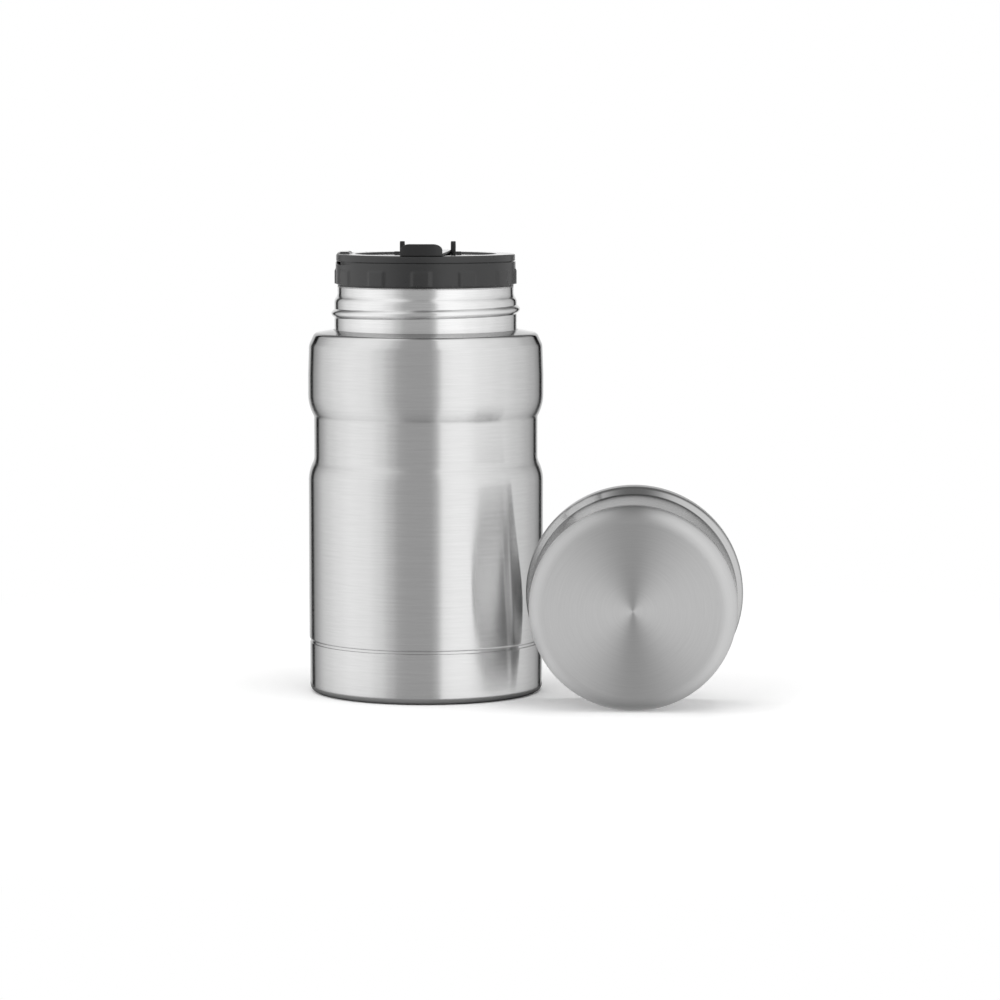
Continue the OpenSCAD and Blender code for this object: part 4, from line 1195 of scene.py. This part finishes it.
# %% The barrel and the cheeks
barrel_ring = arc(0, 0, BARREL_R, 0, 360, 48)[:-1]
combine(cover, prism("barrel", barrel_ring, -CHEEK_IN - 0.2, CHEEK_IN + 0.2, across_hinge), "UNION")
tip = rim_z + CHEEK_H - CHEEK_TIP - hinge_z
side_lean = math.degrees(math.asin((BARREL_R - CHEEK_TIP) / tip))
cheek_ring = arc(0, tip, CHEEK_TIP, side_lean, 180 - side_lean, 14)
cheek_ring += arc(0, 0, BARREL_R, 180 - side_lean, 360 + side_lean, 22)
for low in (CHEEK_IN, -cheek_out):
    cheek = prism("cheek", cheek_ring, low, low + CHEEK_T, across_hinge)
    soften(cheek, 0.3, 3, 60)
    combine(cover, cheek, "UNION")
print("the cheeks' sides lean by", round(side_lean, 1), "degrees")

# %% The thumb tab
CORNER_STEPS, MIDDLE_STEPS = 6, 8
corner = [TAB_CORNER_W * (1 - math.cos(math.pi / 2 * k / CORNER_STEPS))
          for k in range(CORNER_STEPS + 1)]
columns = [x - half for x in corner]
columns += [-half + TAB_CORNER_W + k * (COVER_W - 2 * TAB_CORNER_W) / MIDDLE_STEPS
            for k in range(1, MIDDLE_STEPS)]
columns += [half - x for x in corner[::-1]]
tab_top = rim_z + TAB_H


def tab_height(x):
    """Height of the tab's upper edge, with its rounded corners."""
    over = max(0.0, abs(x) - half + TAB_CORNER_W) / TAB_CORNER_W
    return tab_top - TAB_CORNER_H * (1 - math.sqrt(max(0.0, 1 - over * over)))


verts, faces = [], []
for x in columns:
    for r, z in ((TOP_R, cover_z), (TOP_R, tab_height(x)),
                 (TOP_R - TAB_T, tab_height(x)), (TOP_R - TAB_T, cover_z)):
        verts.append((x * mm, -math.sqrt(r * r - x * x) * mm, z * mm))
for k in range(len(columns) - 1):
    a, b = 4 * k, 4 * k + 4
    faces += [(a + i, a + (i + 1) % 4, b + (i + 1) % 4, b + i) for i in range(4)]
faces += [range(4), range(len(verts) - 4, len(verts))]
tab = add_piece("tab", verts, faces)
soften(tab, 0.5, 4, 50)
combine(cover, tab, "UNION")
print("the tab stands up to", round(tab_top, 2), "mm")

# %% The holes of the pin and the plug
HOLE_GAP = 0.05
pin_bore = prism("pin_bore", arc(0, 0, PIN_R + HOLE_GAP, 0, 360, 32)[:-1],
                 -cheek_out - 1, cheek_out + 1, across_hinge)
combine(cover, pin_bore, "DIFFERENCE")
hole_r = BUTTON_R + HOLE_GAP
button_hole = spin("button_hole", [(0, cover_z - 1), (hole_r, cover_z - 1),
                                   (hole_r, cover_z + 3), (0, cover_z + 3)],
                   closed=False, sides=48)
button_hole.data.transform(moved(0, -TUBE_FRONT, 0))
combine(cover, button_hole, "DIFFERENCE")
settle(cover, "flip_cover", ["flip_cover"], cover_plastic, on_stopper)

# %% [markdown]
# ## The cup
#
# The serving cup has two walls with air between them. It was taken off and
# laid on its side, so it rests on its closed edge and on its rim band and
# leans by a few degrees. Both walls are spun upright, with the closed face
# down, and then laid as objects. That keeps the brushing round the cup's own
# axis, which is what makes the fan of light on its face. Towards the rim band
# the wall slants out, and along the top this slant mirrors the dark above the
# backdrop.

# %% Sizes of the cup
CUP_YAW = 2.8
CUP_BORE = 40.5
BOWL_R = CUP_BORE - 0.8
CUP_R = BOWL_R + 2 * SHEET + 2.1
CUP_RIM_R = CUP_R + 2.5
CUP_L = 44.0
CUP_EDGE, CUP_STEP_R, CUP_LIP = 7.0, 1.5, 0.6
cup_step_l = CUP_L - 7.4
FLARE_L, FLARE_TURN, FLARE_UNDER, FLARE_OVER = CUP_L - 10.2, 33, 1.5, 5.0
BOWL_FLOOR, BOWL_CORNER, BOWL_STEP = 4.4, 4.0, 1.0
bowl_step_l = CUP_L - 13
CUP_BEAD_H, CUP_BEAD_W, CUP_BEAD_SWEEP, CUP_BEAD_FADE = 1.1, 1.0, 84, 8
cup_bead_l = CUP_L - 6
CUP_TUCK, CUP_RIM_FRONT = 9.6, 29.8
print("the cup is", 2 * CUP_RIM_R, "mm across and", CUP_L, "mm long")

# %% Where the cup lies
# It leans until its closed edge and its rim band both touch the table
edge_mid = Vector((CUP_EDGE, CUP_R - CUP_EDGE))
band_mid = Vector((cup_step_l + draw_rise(CUP_RIM_R, CUP_R, CUP_STEP_R, CUP_STEP_R),
                   CUP_RIM_R - CUP_STEP_R))
contact = band_mid - edge_mid
lean = math.atan2(contact.y, contact.x) - math.asin((CUP_EDGE - CUP_STEP_R) / contact.length)
cup_x = bulge_r + CUP_RIM_R - CUP_TUCK
cup_z = CUP_EDGE + edge_mid.y * math.cos(lean) - edge_mid.x * math.sin(lean)
lying = (moved(cup_x, -CUP_RIM_FRONT - CUP_L, cup_z)
         @ Matrix.Rotation(math.radians(-CUP_YAW), 4, "Z")
         @ Matrix.Rotation(lean - math.pi / 2, 4, "X"))
print("the cup leans by", round(math.degrees(lean), 2), "degrees")

# %% The cup's outer wall


def cup_line(inset):
    return ([(0, inset)] + arc(CUP_R - CUP_EDGE, CUP_EDGE, CUP_EDGE - inset, -90, 0, 18)
            + flare_out(CUP_R, CUP_RIM_R, FLARE_L, FLARE_UNDER, FLARE_OVER, FLARE_TURN, inset)
            + arc(CUP_RIM_R - CUP_LIP, CUP_L - CUP_LIP, CUP_LIP - inset, 0, 90, 6))


rim_in = CUP_BORE + SHEET + WELD_GAP
cup_shell = spin("cup_shell_skin", cup_line(0) + [(rim_in, CUP_L), (rim_in, CUP_L - SHEET)]
                 + cup_line(SHEET)[::-1], sides=FINE_SIDES)
settle(cup_shell, "cup", ["cup_shell"], cup_steel, lying)

# %% The cup's bowl


def bowl_line(inset):
    return ([(0, BOWL_FLOOR + inset)]
            + arc(BOWL_R - BOWL_CORNER, BOWL_FLOOR + BOWL_CORNER, BOWL_CORNER - inset, -90, 0, 12)
            + widen(BOWL_R, CUP_BORE, bowl_step_l, BOWL_STEP, BOWL_STEP, inset))


def cup_bead(r, z, angle):
    """Moves the mouth's wall inwards along the three stretches of its bead."""
    if abs(r - CUP_BORE) > 0.01:
        return r, z
    lift = max(ridge_height(angle, z, mid, cup_bead_l + BEAD_LEAD * mid / 360, BEAD_LEAD,
                            CUP_BEAD_SWEEP, CUP_BEAD_W, CUP_BEAD_FADE)
               for mid in (-120, 0, 120))
    return r - CUP_BEAD_H * lift, z


bead_reach = BEAD_LEAD / 2 + CUP_BEAD_W
mouth = stretch([bowl_line(0)[-1], (CUP_BORE, CUP_L)], BEAD_STEP, cup_bead_l - bead_reach,
                cup_bead_l + bead_reach)[1:]
cup_bowl = spin("cup_liner_skin", bowl_line(0) + mouth
                + [(CUP_BORE + SHEET, CUP_L)] + bowl_line(-SHEET)[::-1], cup_bead, sides=FINE_SIDES)
settle(cup_bowl, "cup", ["cup_liner"], bowl_steel, lying)
